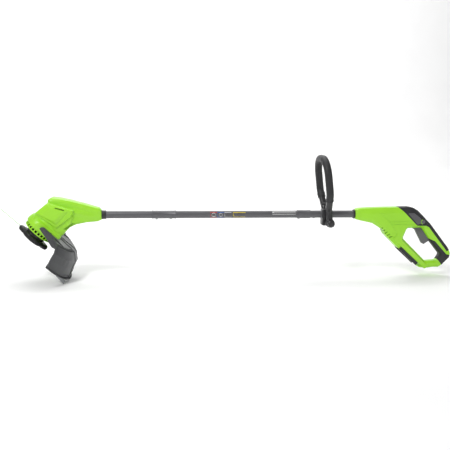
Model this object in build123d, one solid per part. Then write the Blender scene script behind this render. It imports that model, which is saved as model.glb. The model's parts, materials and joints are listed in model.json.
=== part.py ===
from build123d import *
import os
from math import cos, sin, radians

os.makedirs("parts", exist_ok=True)

# Battery string trimmer, in millimetres. The model is laid out in the shaft frame: the shaft's axis is
# the X axis, X = 0 is where the lower and upper tubes meet, +X runs to the rear handle and +Z is up.
# At the end everything is moved so that the origin is under the middle of the object, on the ground.

# ---- Shaft ----
tube_od = 25.0
tube_wall = 1.5
lower_tube_length = 206.0        # coupling to the mouth of the motor head
upper_tube_length = 654.0        # coupling to the mouth of the rear handle
head_socket_depth = 62.0
rear_socket_depth = 70.0
tube_gap = 0.6                   # between the two tubes' ends
slip = 0.05                      # radial clearance of one round part in another
sleeve_length = 80.0
sleeve_wall = 0.9
button_setback = 24.0            # snap button, in front of the joint
button_diameter = 7.0
button_stand = 3.6               # how far it stands out of the sleeve
button_travel = 3.0
rivet_diameter = 4.0
rivet_head_diameter = 7.5
rivet_head_height = 1.6
sleeve_rivet_x = 23.0
head_collar_length = 15.0
head_collar_wall = 1.9
rear_collar_length = 6.0
rear_collar_wall = 3.2
stop_sleeve_setback = 201.0      # its front, from the mouth of the rear handle
stop_sleeve_length = 45.0
stop_sleeve_wall = 1.65
stop_rivet_setback = 143.0
cable_diameter = 6.0

# ---- Motor head ----
head_tilt = 42.0                 # rotor axis, from straight up towards the operator
rotor_back = 209.0               # rotor origin, in front of the head's mouth
rotor_drop = 58.0                # and below the shaft's axis
head_wall = 3.0
panel_half_width = 46.0          # motor housing, across
head_edge = 6.0                  # chamfer along its rims
ridge_half_width = 29.0
mouth_half_width = 19.0
socket_wall = 4.5                # plastic round the tube at a mouth
collar_radius = 56.0
collar_bottom = 13.0             # heights along the rotor axis
collar_top = 27.0
plate_radius = 46.0
plate_bottom = 16.0
plate_thickness = 3.0
vent_ring_radius = 51.0
vent_ring_wall = 3.0
vent_window_width = 7.0
vent_window_height = 6.5
vent_windows = 26
boss_radius = 4.5
screw_radius = 1.6
screw_head_radius = 3.2
screw_head_height = 2.2
motor_radius = 26.0
motor_wall = 1.3
motor_length = 61.0
end_cap_length = 6.0
bearing_radius = 11.0
bearing_length = 7.0
shaft_radius = 4.0
armature_radius = 19.5
fan_radius = 42.0
fan_blades = 9
fan_blade_thickness = 1.6

# ---- Spinning line head, heights along the rotor axis ----
hub_radius = 32.0
hub_top = -2.0
case_top = -14.0
case_bottom = -27.5
case_radius = 40.0
case_wall = 3.0
wing_reach = 57.0
wing_tip_radius = 8.5
wing_root = 36.0                 # half width of the lobes' roots
wing_step = 2.5                  # the lobes' tops lie this much lower than the case's
cap_thickness = 3.0
spool_radius = 34.0
spool_core_radius = 15.0
spool_bore_radius = 12.0
spool_height = 6.2
spool_flange = 1.2
knob_radius = 18.0
knob_stand = 3.8
knob_travel = 3.0
line_diameter = 1.65
line_reach = 139.0               # cutting radius
line_height = -20.5
eyelet_radius = 3.5

# ---- Guard ----
guard_half_angle = 53.0
guard_thickness = 3.0
guard_clip_radius = 66.0         # outside of the clip that hugs the head's collar
guard_clip_half_angle = 94.0
guard_clip_bottom = 17.0
guard_clip_top = 33.0
guard_top_radius = 120.0
guard_top_height = 35.0
guard_skirt_radius = 169.0
guard_rim_height = -47.0
guard_rim_flange = 6.0
blade_angle = 22.0
blade_thickness = 1.2
blade_clearance = 2.5            # from the line's tip to the cutter
blade_tip_height = -60.0
blade_reach = 186.0              # its tab, under the rim and past it

# ---- Loop handle ----
loop_setback = 93.0              # clamp bolt, from the mouth of the rear handle
loop_drop = 27.0                 # clamp bolt, below the shaft's axis
loop_lean = 7.0
loop_height = 218.0
loop_half_width = 71.0
loop_core_radius = 11.0
loop_grip_wall = 1.5
loop_grip_start = 80.0
loop_top_bend = 58.0
lug_radius = 15.0
lug_cheek = 0.25                 # the lugs stand this much proud of the frame's sides
clamp_half_length = 17.0
clamp_wall = 6.0                 # block above the tube
clamp_side_wall = 4.3            # and beside it
clamp_slit = 2.0
side_gap = 0.35                  # flat faces of bodies that turn beside each other
bolt_radius = 4.0
clamp_knob_radius = 13.0
clamp_knob_length = 15.0
nut_radius = 7.5
nut_length = 6.5
washer_radius = 9.0
washer_thickness = 1.6

# ---- Rear handle ----
shell_wall = 2.6
grip_half_width = 18.0
body_half_width = 26.0
arm_half_width = 27.0
belly_half_width = 22.0
grip_edge = 4.5                  # chamfers along the rims
body_edge = 6.0
arm_edge = 3.0
trigger_half_width = 8.0
trigger_swing = 9.0
trigger_clearance = 0.8
pin_radius = 2.0
lock_radius = 6.5
lock_stand = 3.0
lock_travel = 3.0
rail_plate = 3.0
rail_height = 11.5
rail_half_width = 24.0
rail_web = 4.0
rail_lip = 9.0
rail_lip_thickness = 3.0
rail_start = 78.0                # along the arm
rail_end = 162.0
board_thickness = 1.6

tube_r = tube_od / 2
head_x = -lower_tube_length      # mouth of the motor head
rear_x = upper_tube_length       # mouth of the rear handle
stop_sleeve_x = rear_x - stop_sleeve_setback
stop_rivet_x = rear_x - stop_rivet_setback
loop_x = rear_x - loop_setback
line_r = line_diameter / 2
clamp_half_width = tube_r + clamp_side_wall
lug_in = clamp_half_width + side_gap
loop_leg_half_width = lug_in + side_gap + loop_core_radius
lug_thickness = 2 * (loop_core_radius + lug_cheek)
loop_grip_radius = loop_core_radius + loop_grip_wall
spool_top = case_top - case_wall - 0.3
motor_bottom = plate_bottom + plate_thickness
motor_top = motor_bottom + motor_length

rotor_origin = (head_x - rotor_back, 0, -rotor_drop)
tilt = radians(head_tilt)
HEAD = Plane(origin=rotor_origin, x_dir=(cos(tilt), 0, -sin(tilt)), z_dir=(sin(tilt), 0, cos(tilt)))
LOOP = Plane(origin=(loop_x, 0, -loop_drop), x_dir=(cos(radians(loop_lean)), 0, sin(radians(loop_lean))),
             z_dir=(-sin(radians(loop_lean)), 0, cos(radians(loop_lean))))

parts = {}


# ---- Small helpers ----
def outline(points, corner=0.0):
    face = Polygon(*points, align=None)
    return fillet(face.vertices(), corner) if corner else face


def slab(face, half_width):
    """A sketch in the XZ plane, thickened both ways along Y."""
    return extrude(Plane.XZ * face, half_width, both=True)


def soft_slab(face, half_width, edge):
    """The same, with its two long rims broken by a chamfer."""
    solid = slab(face, half_width)
    rim = [e for e in solid.edges() if abs(abs(e.center().Y) - half_width) < 0.01]
    return chamfer(rim, edge)


def hollow_slab(face, half_width, edge, wall):
    """The inside of a soft_slab, at least a wall in from its faces and stepped behind its chamfers."""
    step = 0.6 * edge
    return (slab(offset(face, -wall), half_width - wall - step)
            + slab(offset(face, -wall - step), half_width - wall))


def block(x0, x1, y0, y1, z0, z1):
    return Pos((x0 + x1) / 2, (y0 + y1) / 2, (z0 + z1) / 2) * Box(x1 - x0, y1 - y0, z1 - z0)


def rod_z(radius, z0, z1):
    return Pos(0, 0, (z0 + z1) / 2) * Cylinder(radius, z1 - z0)


def rod_x(radius, x0, x1):
    return Pos((x0 + x1) / 2, 0, 0) * Rot(0, 90, 0) * Cylinder(radius, x1 - x0)


def rod_y(radius, y0, y1, x=0.0, z=0.0):
    return Pos(x, (y0 + y1) / 2, z) * Rot(90, 0, 0) * Cylinder(radius, y1 - y0)


def ring_x(outer, inner, x0, x1):
    return rod_x(outer, x0, x1) - rod_x(inner, x0 - 1, x1 + 1)


def ring_z(outer, inner, z0, z1):
    return rod_z(outer, z0, z1) - rod_z(inner, z0 - 1, z1 + 1)


def sector(points, half_angle):
    """An outline in radius and height, turned about the Z axis, centred on +X."""
    face = Plane.XZ * Polygon(*points, align=None)
    return Rot(0, 0, -half_angle) * revolve(face, Axis.Z, 2 * half_angle)


def both_sides(points):
    """A plan outline on the +Y side and its mirror image, right through the height."""
    mirrored = [(x, -y) for x, y in points]
    near = extrude(Polygon(*points, align=None), 400, both=True)
    return near + extrude(Polygon(*mirrored, align=None), 400, both=True)


def half_space(side):
    """The half of space on one side of the middle plane, for clamshell halves."""
    return block(-2000, 2000, min(0, side * 400), max(0, side * 400), -1000, 1000)


def save(name, shape):
    parts[name] = shape


# ---- Shaft ----
def tubes():
    inner = tube_r - tube_wall
    button_hole = Pos(-button_setback, 0, -tube_r) * Cylinder(button_diameter / 2 + slip, 12)
    lower = ring_x(tube_r, inner, head_x - head_socket_depth, -tube_gap / 2) - button_hole
    upper = ring_x(tube_r, inner, tube_gap / 2, rear_x + rear_socket_depth)
    sleeve = ring_x(tube_r + slip + sleeve_wall, tube_r + slip, -sleeve_length / 2, sleeve_length / 2)
    stop = ring_x(tube_r + slip + stop_sleeve_wall, tube_r + slip, stop_sleeve_x,
                  stop_sleeve_x + stop_sleeve_length)
    rivets = []
    for x, cover in rivet_places():
        lip = tube_r + cover
        hole = Pos(x, 0, -tube_r) * Cylinder(rivet_diameter / 2, 14)
        upper -= hole
        sleeve -= hole
        stop -= hole
        shank = Pos(x, 0, 0) * rod_z(rivet_diameter / 2, -lip, -inner + 1.0)
        head = Pos(x, 0, 0) * rod_z(rivet_head_diameter / 2, -lip - rivet_head_height, -lip)
        rivets.append(shank + fillet(head.edges().group_by(Axis.Z)[0], 0.8))
    save("lower_tube", lower)
    save("upper_tube", upper)
    save("coupling_sleeve", sleeve - button_hole)
    save("stop_sleeve", stop)
    save("tube_rivets", Compound(children=rivets))


def rivet_places():
    """Where each blind rivet sits along the shaft, and how much metal lies over the tube there."""
    over_sleeve = slip + sleeve_wall + 0.3
    over_stop = slip + stop_sleeve_wall + 0.3
    return [(sleeve_rivet_x, over_sleeve), (stop_sleeve_x + 6.0, over_stop), (stop_rivet_x, 0.4)]


def snap_button():
    inner = tube_r - tube_wall
    stand = tube_r + slip + sleeve_wall + button_stand
    pin = Pos(-button_setback, 0, 0) * rod_z(button_diameter / 2, -stand, -inner + 3.2)
    pin = fillet(pin.edges().group_by(Axis.Z)[0], 1.4)
    leaf = 0.7
    rest = -inner + 3.2 + button_travel + 0.3
    spring = slab(outline([(-button_setback - 5, rest), (-button_setback + 5, rest),
                           (-button_setback + 30, -inner + 1.1), (-button_setback + 30, -inner + 1.1 + leaf),
                           (-button_setback + 5, rest + leaf), (-button_setback - 5, rest + leaf)]), 2.5)
    save("coupling_button", pin)
    save("coupling_spring", spring)


def shaft_collars():
    save("head_collar", ring_x(tube_r + slip + head_collar_wall, tube_r + slip, head_x,
                               head_x + head_collar_length))
    save("rear_collar", ring_x(tube_r + slip + rear_collar_wall, tube_r + slip,
                               rear_x - rear_collar_length, rear_x))


def power_cable():
    """Two-core lead from the board in the rear handle, through the tubes, to the motor."""
    cap_face = HEAD.from_local_coords(Vector(16, 0, motor_top + end_cap_length + cable_diameter / 2))
    route = [(rear_x + 103, -20), (rear_x + 84, 0), (head_x - 92, 0), (cap_face.X, cap_face.Z)]
    line = Plane.XZ * FilletPolyline(*route, radius=20)
    radius = cable_diameter / 2
    section = Plane(origin=line @ 0, z_dir=line % 0) * Circle(radius)
    save("power_cable", sweep(section, path=line))


# ---- Motor head ----
def neck_outline():
    """Side view of the ridge and neck, from the mouth forwards, in the shaft frame."""
    m = head_x
    top = tube_r + socket_wall
    return outline([(m, top), (m - 8, top + 8), (m - 57, top + 22), (m - 102, top + 34), (m - 132, top + 40),
                    (m - 160, top + 42), (m - 170, top + 37), (m - 173, top + 19), (m - 150, -20),
                    (m - 122, -62), (m - 114, -48.5), (m - 100, -37), (m - 81, -29), (m - 51, -24),
                    (m - 12, -top - 4), (m, -top - 1)])


def neck_trim(inset=0.0):
    """What is trimmed off both sides, so that the neck narrows towards the mouth."""
    m = head_x
    return both_sides([(m + 5, mouth_half_width - inset), (m - 190, ridge_half_width - inset), (m - 190, 90),
                       (m + 5, 90)])


def housing_outline():
    """Side view of the motor housing, in the head frame: along the back and up the rotor axis."""
    return outline([(-48, collar_top - 1), (-48, 41), (-41, 90), (-24, 101), (20, 122), (44, 114),
                    (62, 89), (62, collar_top - 1)])


def head_solid():
    housing = soft_slab(housing_outline(), panel_half_width, head_edge)
    collar = rod_z(collar_radius, collar_bottom, collar_top)
    collar = chamfer(collar.edges(), 2.0)
    heel = block(0, 62, -panel_half_width + 4, panel_half_width - 4, collar_bottom, collar_top)
    neck = slab(neck_outline(), ridge_half_width + 1) - neck_trim()
    return HEAD.location * (housing + collar + heel) + neck


def head_hollow():
    housing = hollow_slab(housing_outline(), panel_half_width, head_edge, head_wall)
    bore = rod_z(plate_radius, collar_bottom - 1, motor_bottom)
    throat = rod_z(plate_radius - 3, collar_bottom, collar_top + 6)
    neck = slab(offset(neck_outline(), -head_wall), ridge_half_width) - neck_trim(head_wall)
    hollow = HEAD.location * (housing + bore + throat) + neck
    for x in (head_x - head_socket_depth - 2, head_x - 12):
        hollow -= block(x - 6, x + 6, -60, 60, -60, 80)
    hollow -= block(head_x - 6, head_x + 5, -60, 60, -60, 80)
    for x, z, half in head_screw_places():
        hollow -= rod_y(boss_radius, -half, half, x, z)
    cable_way = rod_x(cable_diameter, head_x - head_socket_depth - 12, head_x - head_socket_depth)
    return hollow + cable_way + rod_x(tube_r + slip, head_x - head_socket_depth - 1, head_x + 1)


def head_screw_places():
    """Middle of each housing screw and the half width of the shell there."""
    low_front = HEAD.from_local_coords(Vector(-38, 0, 58))
    high = HEAD.from_local_coords(Vector(40, 0, 102))
    low_back = HEAD.from_local_coords(Vector(53, 0, 40))
    return [(low_front.X, low_front.Z, panel_half_width), (high.X, high.Z, panel_half_width),
            (low_back.X, low_back.Z, panel_half_width), (head_x - 40, 22.5, mouth_half_width + 3.5)]


def housing_screw(x, z, half):
    """Self-tapping screw that enters from the +Y side, and the two holes that it needs."""
    seat = half - 4.0
    screw = rod_y(screw_radius, -half + 8, seat, x, z) + rod_y(screw_head_radius, seat,
                                                               seat + screw_head_height, x, z)
    hole = rod_y(screw_radius, -half + 7, seat + 1, x, z) + rod_y(screw_head_radius + 0.3, seat, half + 20,
                                                                  x, z)
    return screw, hole


def head_shells():
    shell = head_solid() - head_hollow()
    guard_holes = HEAD.location * guard_screw_holes(screw_radius)
    shell -= guard_holes
    screws = []
    for place in head_screw_places():
        screw, hole = housing_screw(*place)
        screws.append(screw)
        shell -= hole
    slot = HEAD.location * (Rot(0, 31, 0) * block(20, 52, -200, 200, 106, 109))
    shell -= slot
    for i in range(5):
        low = HEAD.from_local_coords(Vector(60, 0, 60 + 7.5 * i))
        cut = Pos(low.X, 0, low.Z) * Rot(0, head_tilt - 20, 0) * Box(16, 2 * panel_half_width - 24, 2.4)
        shell -= cut
    save("head_shell_left", shell & half_space(-1))
    save("head_shell_right", shell & half_space(1))
    save("head_screws", Compound(children=screws))


def vent_ring():
    ring = ring_z(vent_ring_radius, vent_ring_radius - vent_ring_wall, 0, collar_bottom)
    floor = ring_z(vent_ring_radius, fan_radius - 6, 0, 1.2)
    lip = ring_z(vent_ring_radius, plate_radius - 2, collar_bottom - 1.5, collar_bottom)
    middle = collar_bottom / 2
    for i in range(vent_windows):
        window = Pos(vent_ring_radius, 0, middle) * Box(12, vent_window_width, vent_window_height)
        ring -= Rot(0, 0, i * 360 / vent_windows) * window
    save("vent_ring", HEAD.location * (ring + floor + lip))


def motor():
    bore = bearing_radius
    plate = ring_z(plate_radius - slip, shaft_radius + 3, plate_bottom, motor_bottom)
    plate_screws = []
    for i in range(4):
        place = Rot(0, 0, 45 + 90 * i) * Pos(16, 0, 0)
        plate -= place * rod_z(screw_radius, plate_bottom - 1, motor_bottom + 1)
        plate_screws.append(place * (rod_z(screw_radius, plate_bottom, motor_bottom + motor_wall)
                                     + rod_z(screw_head_radius, plate_bottom - 1.6, plate_bottom)))
    can = ring_z(motor_radius, motor_radius - motor_wall, motor_bottom, motor_top)
    floor = ring_z(motor_radius, shaft_radius + 3, motor_bottom, motor_bottom + motor_wall)
    for i in range(4):
        floor -= Rot(0, 0, 45 + 90 * i) * Pos(16, 0, 0) * rod_z(screw_radius, motor_bottom - 1,
                                                                motor_bottom + 5)
    cap = ring_z(motor_radius, bore, motor_top, motor_top + end_cap_length)
    cap -= Pos(motor_radius, 0, motor_top + end_cap_length) * Box(6, 8, 3)
    magnets = []
    for turn in (0, 180):
        inner, outer = armature_radius + 0.8, motor_radius - motor_wall
        arc = sector([(inner, motor_bottom + 8), (outer, motor_bottom + 8), (outer, motor_top - 8),
                      (inner, motor_top - 8)], 62)
        magnets.append(HEAD.location * (Rot(0, 0, turn) * arc))
    low = ring_z(bore, shaft_radius + slip, motor_bottom + motor_wall, motor_bottom + motor_wall
                 + bearing_length)
    high = ring_z(bore, shaft_radius + slip, motor_top - 1, motor_top + end_cap_length)
    save("motor_mount_plate", HEAD.location * plate)
    save("plate_screws", Compound(children=[HEAD.location * s for s in plate_screws]))
    save("motor_can", HEAD.location * (can + floor))
    save("motor_end_cap", HEAD.location * cap)
    save("motor_magnets", Compound(children=magnets))
    save("motor_bearings", Compound(children=[HEAD.location * low, HEAD.location * high]))


# ---- Spinning parts ----
def rotor_shaft():
    shaft = rod_z(shaft_radius, spool_top - 7.0, motor_top + end_cap_length - 0.5)
    bottom = motor_bottom + motor_wall + bearing_length + 2
    stack = ring_z(armature_radius, shaft_radius, bottom, motor_top - 10)
    for i in range(8):
        stack -= Rot(0, 0, i * 45) * block(armature_radius - 4, armature_radius + 2, -1.2, 1.2,
                                           bottom - 1, motor_top)
    commutator = ring_z(8.5, shaft_radius, motor_top - 9, motor_top - 2)
    save("motor_shaft", HEAD.location * shaft)
    save("motor_armature", HEAD.location * stack)
    save("motor_commutator", HEAD.location * commutator)


def cooling_fan():
    hub = ring_z(10, shaft_radius, 2.0, 12.0)
    disc = ring_z(fan_radius, 9, 2.0, 3.6)
    for i in range(fan_blades):
        blade = block(9, fan_radius, -fan_blade_thickness / 2, fan_blade_thickness / 2, 3.0, 10.5)
        disc += Rot(0, 0, i * 360 / fan_blades) * blade
    save("cooling_fan", HEAD.location * (hub + disc))


def winged_case():
    """Round spool case with a lobe fore and aft."""
    tip = wing_reach - wing_tip_radius
    wing = Polygon((-tip, -wing_tip_radius), (-12, -wing_root), (12, -wing_root), (tip, -wing_tip_radius),
                   (tip, wing_tip_radius), (12, wing_root), (-12, wing_root), (-tip, wing_tip_radius),
                   align=None)
    case = rod_z(case_radius, case_bottom, case_top)
    case = chamfer(case.edges().group_by(Axis.Z)[-1], wing_step)
    case += Pos(0, 0, case_bottom) * extrude(wing, case_top - wing_step - case_bottom)
    for x in (-tip, tip):
        case += Pos(x, 0, 0) * rod_z(wing_tip_radius, case_bottom, case_top - wing_step)
    return case


def spool_housing():
    case = winged_case()
    hub = rod_z(hub_radius, case_top - 1, hub_top)
    hub = chamfer(hub.edges().group_by(Axis.Z)[-1], 1.2)
    case += hub
    case -= rod_z(case_radius - case_wall, case_bottom - 1, case_top - case_wall)
    case -= ring_z(hub_radius - 3, 12, case_top + 2, hub_top - 3)
    case -= rod_z(shaft_radius, -60, 10)
    case -= Pos(0, 0, line_height) * rod_x(eyelet_radius, -wing_reach - 2, -case_radius + case_wall + 1)
    eyelet = Pos(0, 0, line_height) * (ring_x(eyelet_radius, line_r + 0.4, -wing_reach + 1, -wing_reach + 12)
                                       + ring_x(eyelet_radius + 1.3, line_r + 0.4, -wing_reach - 1.4,
                                                -wing_reach - 0.1))
    eyelet += Pos(0, 0, line_height) * ring_x(eyelet_radius, line_r + 0.4, -wing_reach - 0.5, -wing_reach + 2)
    save("spool_housing", HEAD.location * case)
    save("line_eyelet", HEAD.location * eyelet)


def spool():
    bottom = spool_top - spool_height
    core = ring_z(spool_core_radius, spool_bore_radius, bottom, spool_top)
    flanges = (ring_z(spool_radius, spool_bore_radius, bottom, bottom + spool_flange)
               + ring_z(spool_radius, spool_bore_radius, spool_top - spool_flange, spool_top))
    wound = ring_z(spool_radius - 4, spool_core_radius, bottom + spool_flange, spool_top - spool_flange)
    nut = extrude(RegularPolygon(7.5, 6), 5.5) - rod_z(shaft_radius, -1, 7)
    cap_top = case_bottom
    cap = ring_z(case_radius, knob_radius + slip, cap_top - cap_thickness, cap_top)
    cap = chamfer(cap.edges().group_by(Axis.Z)[0].sort_by(SortBy.LENGTH)[-1], 2.0)
    for turn in (0, 180):
        cap -= Rot(0, 0, turn + 90) * Pos(case_radius, 0, cap_top) * Box(5, 12, 20)
    save("spool", HEAD.location * (core + flanges))
    save("wound_line", HEAD.location * wound)
    save("arbor_nut", HEAD.location * (Pos(0, 0, case_top - case_wall - 5.6) * nut))
    save("spool_cap", HEAD.location * cap)


def bump_knob():
    cap_bottom = case_bottom - cap_thickness
    knob = rod_z(knob_radius, cap_bottom - knob_stand, case_bottom + 0.2)
    knob = fillet(knob.edges().group_by(Axis.Z)[0], 2.0)
    knob += rod_z(knob_radius + 2.5, case_bottom + 0.1, case_bottom + 0.7)
    cup_floor = cap_bottom - knob_stand + 2.5
    knob -= rod_z(knob_radius - 3, cup_floor, case_bottom + 2)
    spring_top = case_top - case_wall - 5.6 - knob_travel - 0.3
    turns = 3
    pitch = (spring_top - cup_floor - 1.2) / turns
    path = Pos(0, 0, cup_floor + 0.6) * Helix(pitch=pitch, height=pitch * turns, radius=9.4)
    coil = sweep(Plane(origin=path @ 0, z_dir=path % 0) * Circle(0.6), path=path, is_frenet=True)
    save("bump_knob", HEAD.location * knob)
    save("knob_spring", HEAD.location * coil)


def cutting_line():
    line = Pos(0, 0, line_height) * rod_x(line_r, -line_reach, -spool_radius + 4)
    save("cutting_line", HEAD.location * line)


# ---- Guard ----
def guard_section(inset=0.0):
    """Section of the guard in radius and height, from the clip out to the rim."""
    r, top, rim = guard_skirt_radius, guard_top_height, guard_rim_height
    outer = [(guard_clip_radius - 8, top), (guard_top_radius, top), (guard_top_radius + 14, top - 4),
             (r - 17, top - 23), (r - 9, -14), (r - 2, -27), (r, rim)]
    t = guard_thickness
    inner = [(r - t, rim), (r - 2 - t, -27 + 0.6), (r - 9 - t, -14 + 0.8), (r - 17 - t, top - 24),
             (guard_top_radius + 12, top - 4 - t), (guard_top_radius - 0.5, top - t),
             (guard_clip_radius - 8, top - t)]
    return outer + inner


def guard():
    fan = sector(guard_section(), guard_half_angle)
    r, rim = guard_skirt_radius, guard_rim_height
    fan += sector([(r - guard_thickness, rim), (r + guard_rim_flange, rim), (r + guard_rim_flange, rim + 2.5),
                   (r - guard_thickness, rim + 2.5)], guard_half_angle)
    inner = collar_radius + 0.1
    clip = sector([(inner, guard_clip_bottom), (guard_clip_radius, guard_clip_bottom),
                   (guard_clip_radius, guard_clip_top), (inner, guard_clip_top)], guard_clip_half_angle)
    for side in (-1, 1):
        window = sector([(inner - 2, guard_clip_bottom + 5), (guard_clip_radius + 2, guard_clip_bottom + 5),
                         (guard_clip_radius + 2, guard_clip_top - 6), (inner - 2, guard_clip_top - 6)], 13)
        clip -= Rot(0, 0, side * 70) * window
    web = sector([(guard_clip_radius - 4, guard_clip_bottom), (guard_clip_radius + 6, guard_clip_bottom),
                  (guard_clip_radius + 30, guard_top_height - 1), (guard_clip_radius - 4,
                                                                    guard_top_height - 1)], 1.5)
    body = fan + clip
    for angle in (-45, -15, 15, 45):
        body += Rot(0, 0, angle) * web
    body -= block(0, 62.3, -panel_half_width + 3.7, panel_half_width - 3.7, 0, collar_top + 1)
    body -= slab(offset(housing_outline(), 0.3), panel_half_width + 0.3)
    body -= guard_screw_holes(screw_radius + 0.3)
    body += blade_boss()
    body -= blade_place() * blade_screw_bores()
    save("guard", HEAD.location * body)
    guard_fasteners()


def guard_screw_holes(radius):
    holes = []
    for angle in (-40, 40):
        holes.append(Rot(0, 0, angle) * Pos(0, 0, guard_clip_bottom + 4) * rod_x(radius, collar_radius - 8,
                                                                                 guard_clip_radius + 3))
    return holes[0] + holes[1]


def guard_fasteners():
    screws = []
    for angle in (-40, 40):
        seat = guard_clip_radius
        screw = rod_x(screw_radius, collar_radius - 7, seat + 6) + rod_x(screw_head_radius, seat + 6, seat + 8)
        screws.append(HEAD.location * (Rot(0, 0, angle) * Pos(0, 0, guard_clip_bottom + 4) * screw))
    save("guard_screws", Compound(children=screws))


def blade_place():
    return Rot(0, 0, -blade_angle)


def blade_boss():
    """Block inside the skirt that the cutter is screwed to."""
    boss = outline([(guard_skirt_radius - 20, -16), (guard_skirt_radius - 9, -16),
                    (guard_skirt_radius - 3, -28), (guard_skirt_radius - 1, guard_rim_height),
                    (guard_skirt_radius - 20, guard_rim_height)])
    return blade_place() * Pos(0, 4.0, 0) * slab(boss, 4.0)


def blade_screw_bores():
    return (rod_y(screw_radius, -2, 9, guard_skirt_radius - 14, -22)
            + rod_y(screw_radius, -2, 9, guard_skirt_radius - 14, -36))


def cutoff_blade():
    inner = line_reach + blade_clearance
    outer = guard_skirt_radius
    face = outline([(inner, -17), (outer - 12.5, -17), (outer - 5.5, -28), (outer - 3.6, guard_rim_height),
                    (outer - 3.6, guard_rim_height - 1.0), (blade_reach - 4, guard_rim_height - 1.0),
                    (blade_reach, blade_tip_height), (inner + 6, blade_tip_height),
                    (inner, blade_tip_height + 6)])
    plate = Pos(0, -blade_thickness / 2, 0) * slab(face, blade_thickness / 2)
    plate -= blade_screw_bores()
    save("cutoff_blade", HEAD.location * (blade_place() * plate))
    screws = []
    for height in (-22, -36):
        x = guard_skirt_radius - 14
        screw = rod_y(screw_radius, -blade_thickness, 7, x, height) + rod_y(
            screw_head_radius, -blade_thickness - 1.8, -blade_thickness, x, height)
        screws.append(HEAD.location * (blade_place() * screw))
    save("blade_screws", Compound(children=screws))


# ---- Loop handle ----
def loop_path(start_height, radius_low, radius_mid):
    """Half of the loop's centre line mirrored to the other side, in the loop's own plane."""
    leg, wide, top = loop_leg_half_width, loop_half_width, loop_height
    if start_height < 40:
        side = [(leg, start_height), (leg, 42), (wide, 102), (wide, top)]
        radii = [radius_low, radius_mid, loop_top_bend]
    else:
        share = (start_height - 42) / 60
        side = [(leg + share * (wide - leg), start_height), (wide, 102), (wide, top)]
        radii = [radius_mid, loop_top_bend]
    points = side + [(-y, z) for y, z in reversed(side)]
    wire = FilletPolyline(*points, radius=radii + radii[::-1])
    return Plane.YZ * wire


def loop_tube(radius, start_height):
    path = loop_path(start_height, 30.0, 36.0)
    return sweep(Plane(origin=path @ 0, z_dir=path % 0) * Circle(radius), path=path)


def loop_handle():
    frame = loop_tube(loop_core_radius, 0.0)
    for side in (-1, 1):
        near, far = side * lug_in, side * (lug_in + lug_thickness)
        frame += rod_y(lug_radius, min(near, far), max(near, far))
    nut_seat = lug_in + lug_thickness
    frame -= block(-40, 40, -lug_in, lug_in, -lug_radius - 1, 40)
    frame -= rod_y(bolt_radius + 0.08, -80, 80)
    frame -= Pos(0, nut_seat - nut_length / 2, 0) * Rot(90, 0, 0) * extrude(
        RegularPolygon(nut_radius + 0.05, 6), nut_length, both=True)
    grip = loop_tube(loop_grip_radius, loop_grip_start) - loop_tube(loop_core_radius + 0.03,
                                                                   loop_grip_start - 1)
    nut = Pos(0, nut_seat - nut_length / 2, 0) * Rot(90, 0, 0) * extrude(
        RegularPolygon(nut_radius, 6), nut_length / 2, both=True)
    nut -= rod_y(bolt_radius + slip, -80, 80)
    save("loop_frame", LOOP.location * frame)
    save("loop_grip", LOOP.location * grip)
    save("clamp_nut", LOOP.location * nut)
    knob_seat = -nut_seat - side_gap
    washer = ring_washer(knob_seat)
    knob_in = knob_seat - washer_thickness
    bolt = rod_y(bolt_radius, knob_in - 9, nut_seat + 4)
    save("clamp_washer", LOOP.location * washer)
    save("clamp_bolt", LOOP.location * bolt)
    save("clamp_knob", LOOP.location * clamp_knob(knob_in))


def ring_washer(seat):
    return rod_y(washer_radius, seat - washer_thickness, seat) - rod_y(bolt_radius + slip, -90, 90)


def clamp_knob(seat):
    knob = rod_y(clamp_knob_radius, seat - clamp_knob_length, seat)
    knob = fillet(knob.edges().group_by(Axis.Y)[0], 2.5)
    for i in range(10):
        turn = radians(36 * i)
        reach = clamp_knob_radius + 0.9
        knob -= rod_y(2.2, seat - 60, seat - 3, reach * cos(turn), reach * sin(turn))
    return knob - rod_y(bolt_radius, seat - 9, seat + 1)


def clamp_block():
    """Split block round the shaft, between the loop's two legs."""
    top = tube_r + clamp_wall
    bottom = loop_drop + 11.0
    face = outline([(-clamp_half_length, -bottom), (clamp_half_length, -bottom),
                    (clamp_half_length, top), (-clamp_half_length, top)], 3.0)
    body = Pos(loop_x - 6, 0, 0) * soft_slab(face, clamp_half_width, 1.5)
    body -= rod_x(tube_r + slip, loop_x - 60, loop_x + 60)
    body -= block(loop_x - 60, loop_x + 60, -clamp_slit / 2, clamp_slit / 2, -bottom - 1, 0)
    body -= rod_y(bolt_radius + 0.08, -80, 80, loop_x, -loop_drop)
    save("clamp_block", body)


# ---- Rear handle, in the shaft frame ----
def shifted(points):
    return [(rear_x + x, z) for x, z in points]


def handle_outline():
    mouth = tube_r + socket_wall
    return outline(shifted([(0, mouth), (12, mouth + 4), (59, 23), (157, 25), (188, 26), (205, 22), (222, 12),
                            (268, -33), (339, -122), (346, -138), (343, -153), (317, -179), (304, -187),
                            (270, -187), (262, -184), (250, -190), (106, -60), (96, -51), (66, -32),
                            (12, -mouth - 3), (0, -mouth)]))


def handle_opening():
    return outline(shifted([(186, -49), (236, -47), (272, -97), (309, -142), (296, -163), (256, -165),
                            (172, -84)]), 7.0)


def front_outline():
    mouth = tube_r + socket_wall
    return outline(shifted([(0, mouth), (12, mouth + 4), (59, 23), (157, 25), (188, 26), (205, 22), (222, 12),
                            (250, -15), (236, -42), (184, -43), (168, -64), (166, -88), (140, -91),
                            (106, -60), (96, -51), (66, -32), (12, -mouth - 3), (0, -mouth)]))


def belly_outline():
    return outline(shifted([(72, -34), (96, -51), (106, -70), (156, -119), (166, -110), (120, -56)]))


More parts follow.
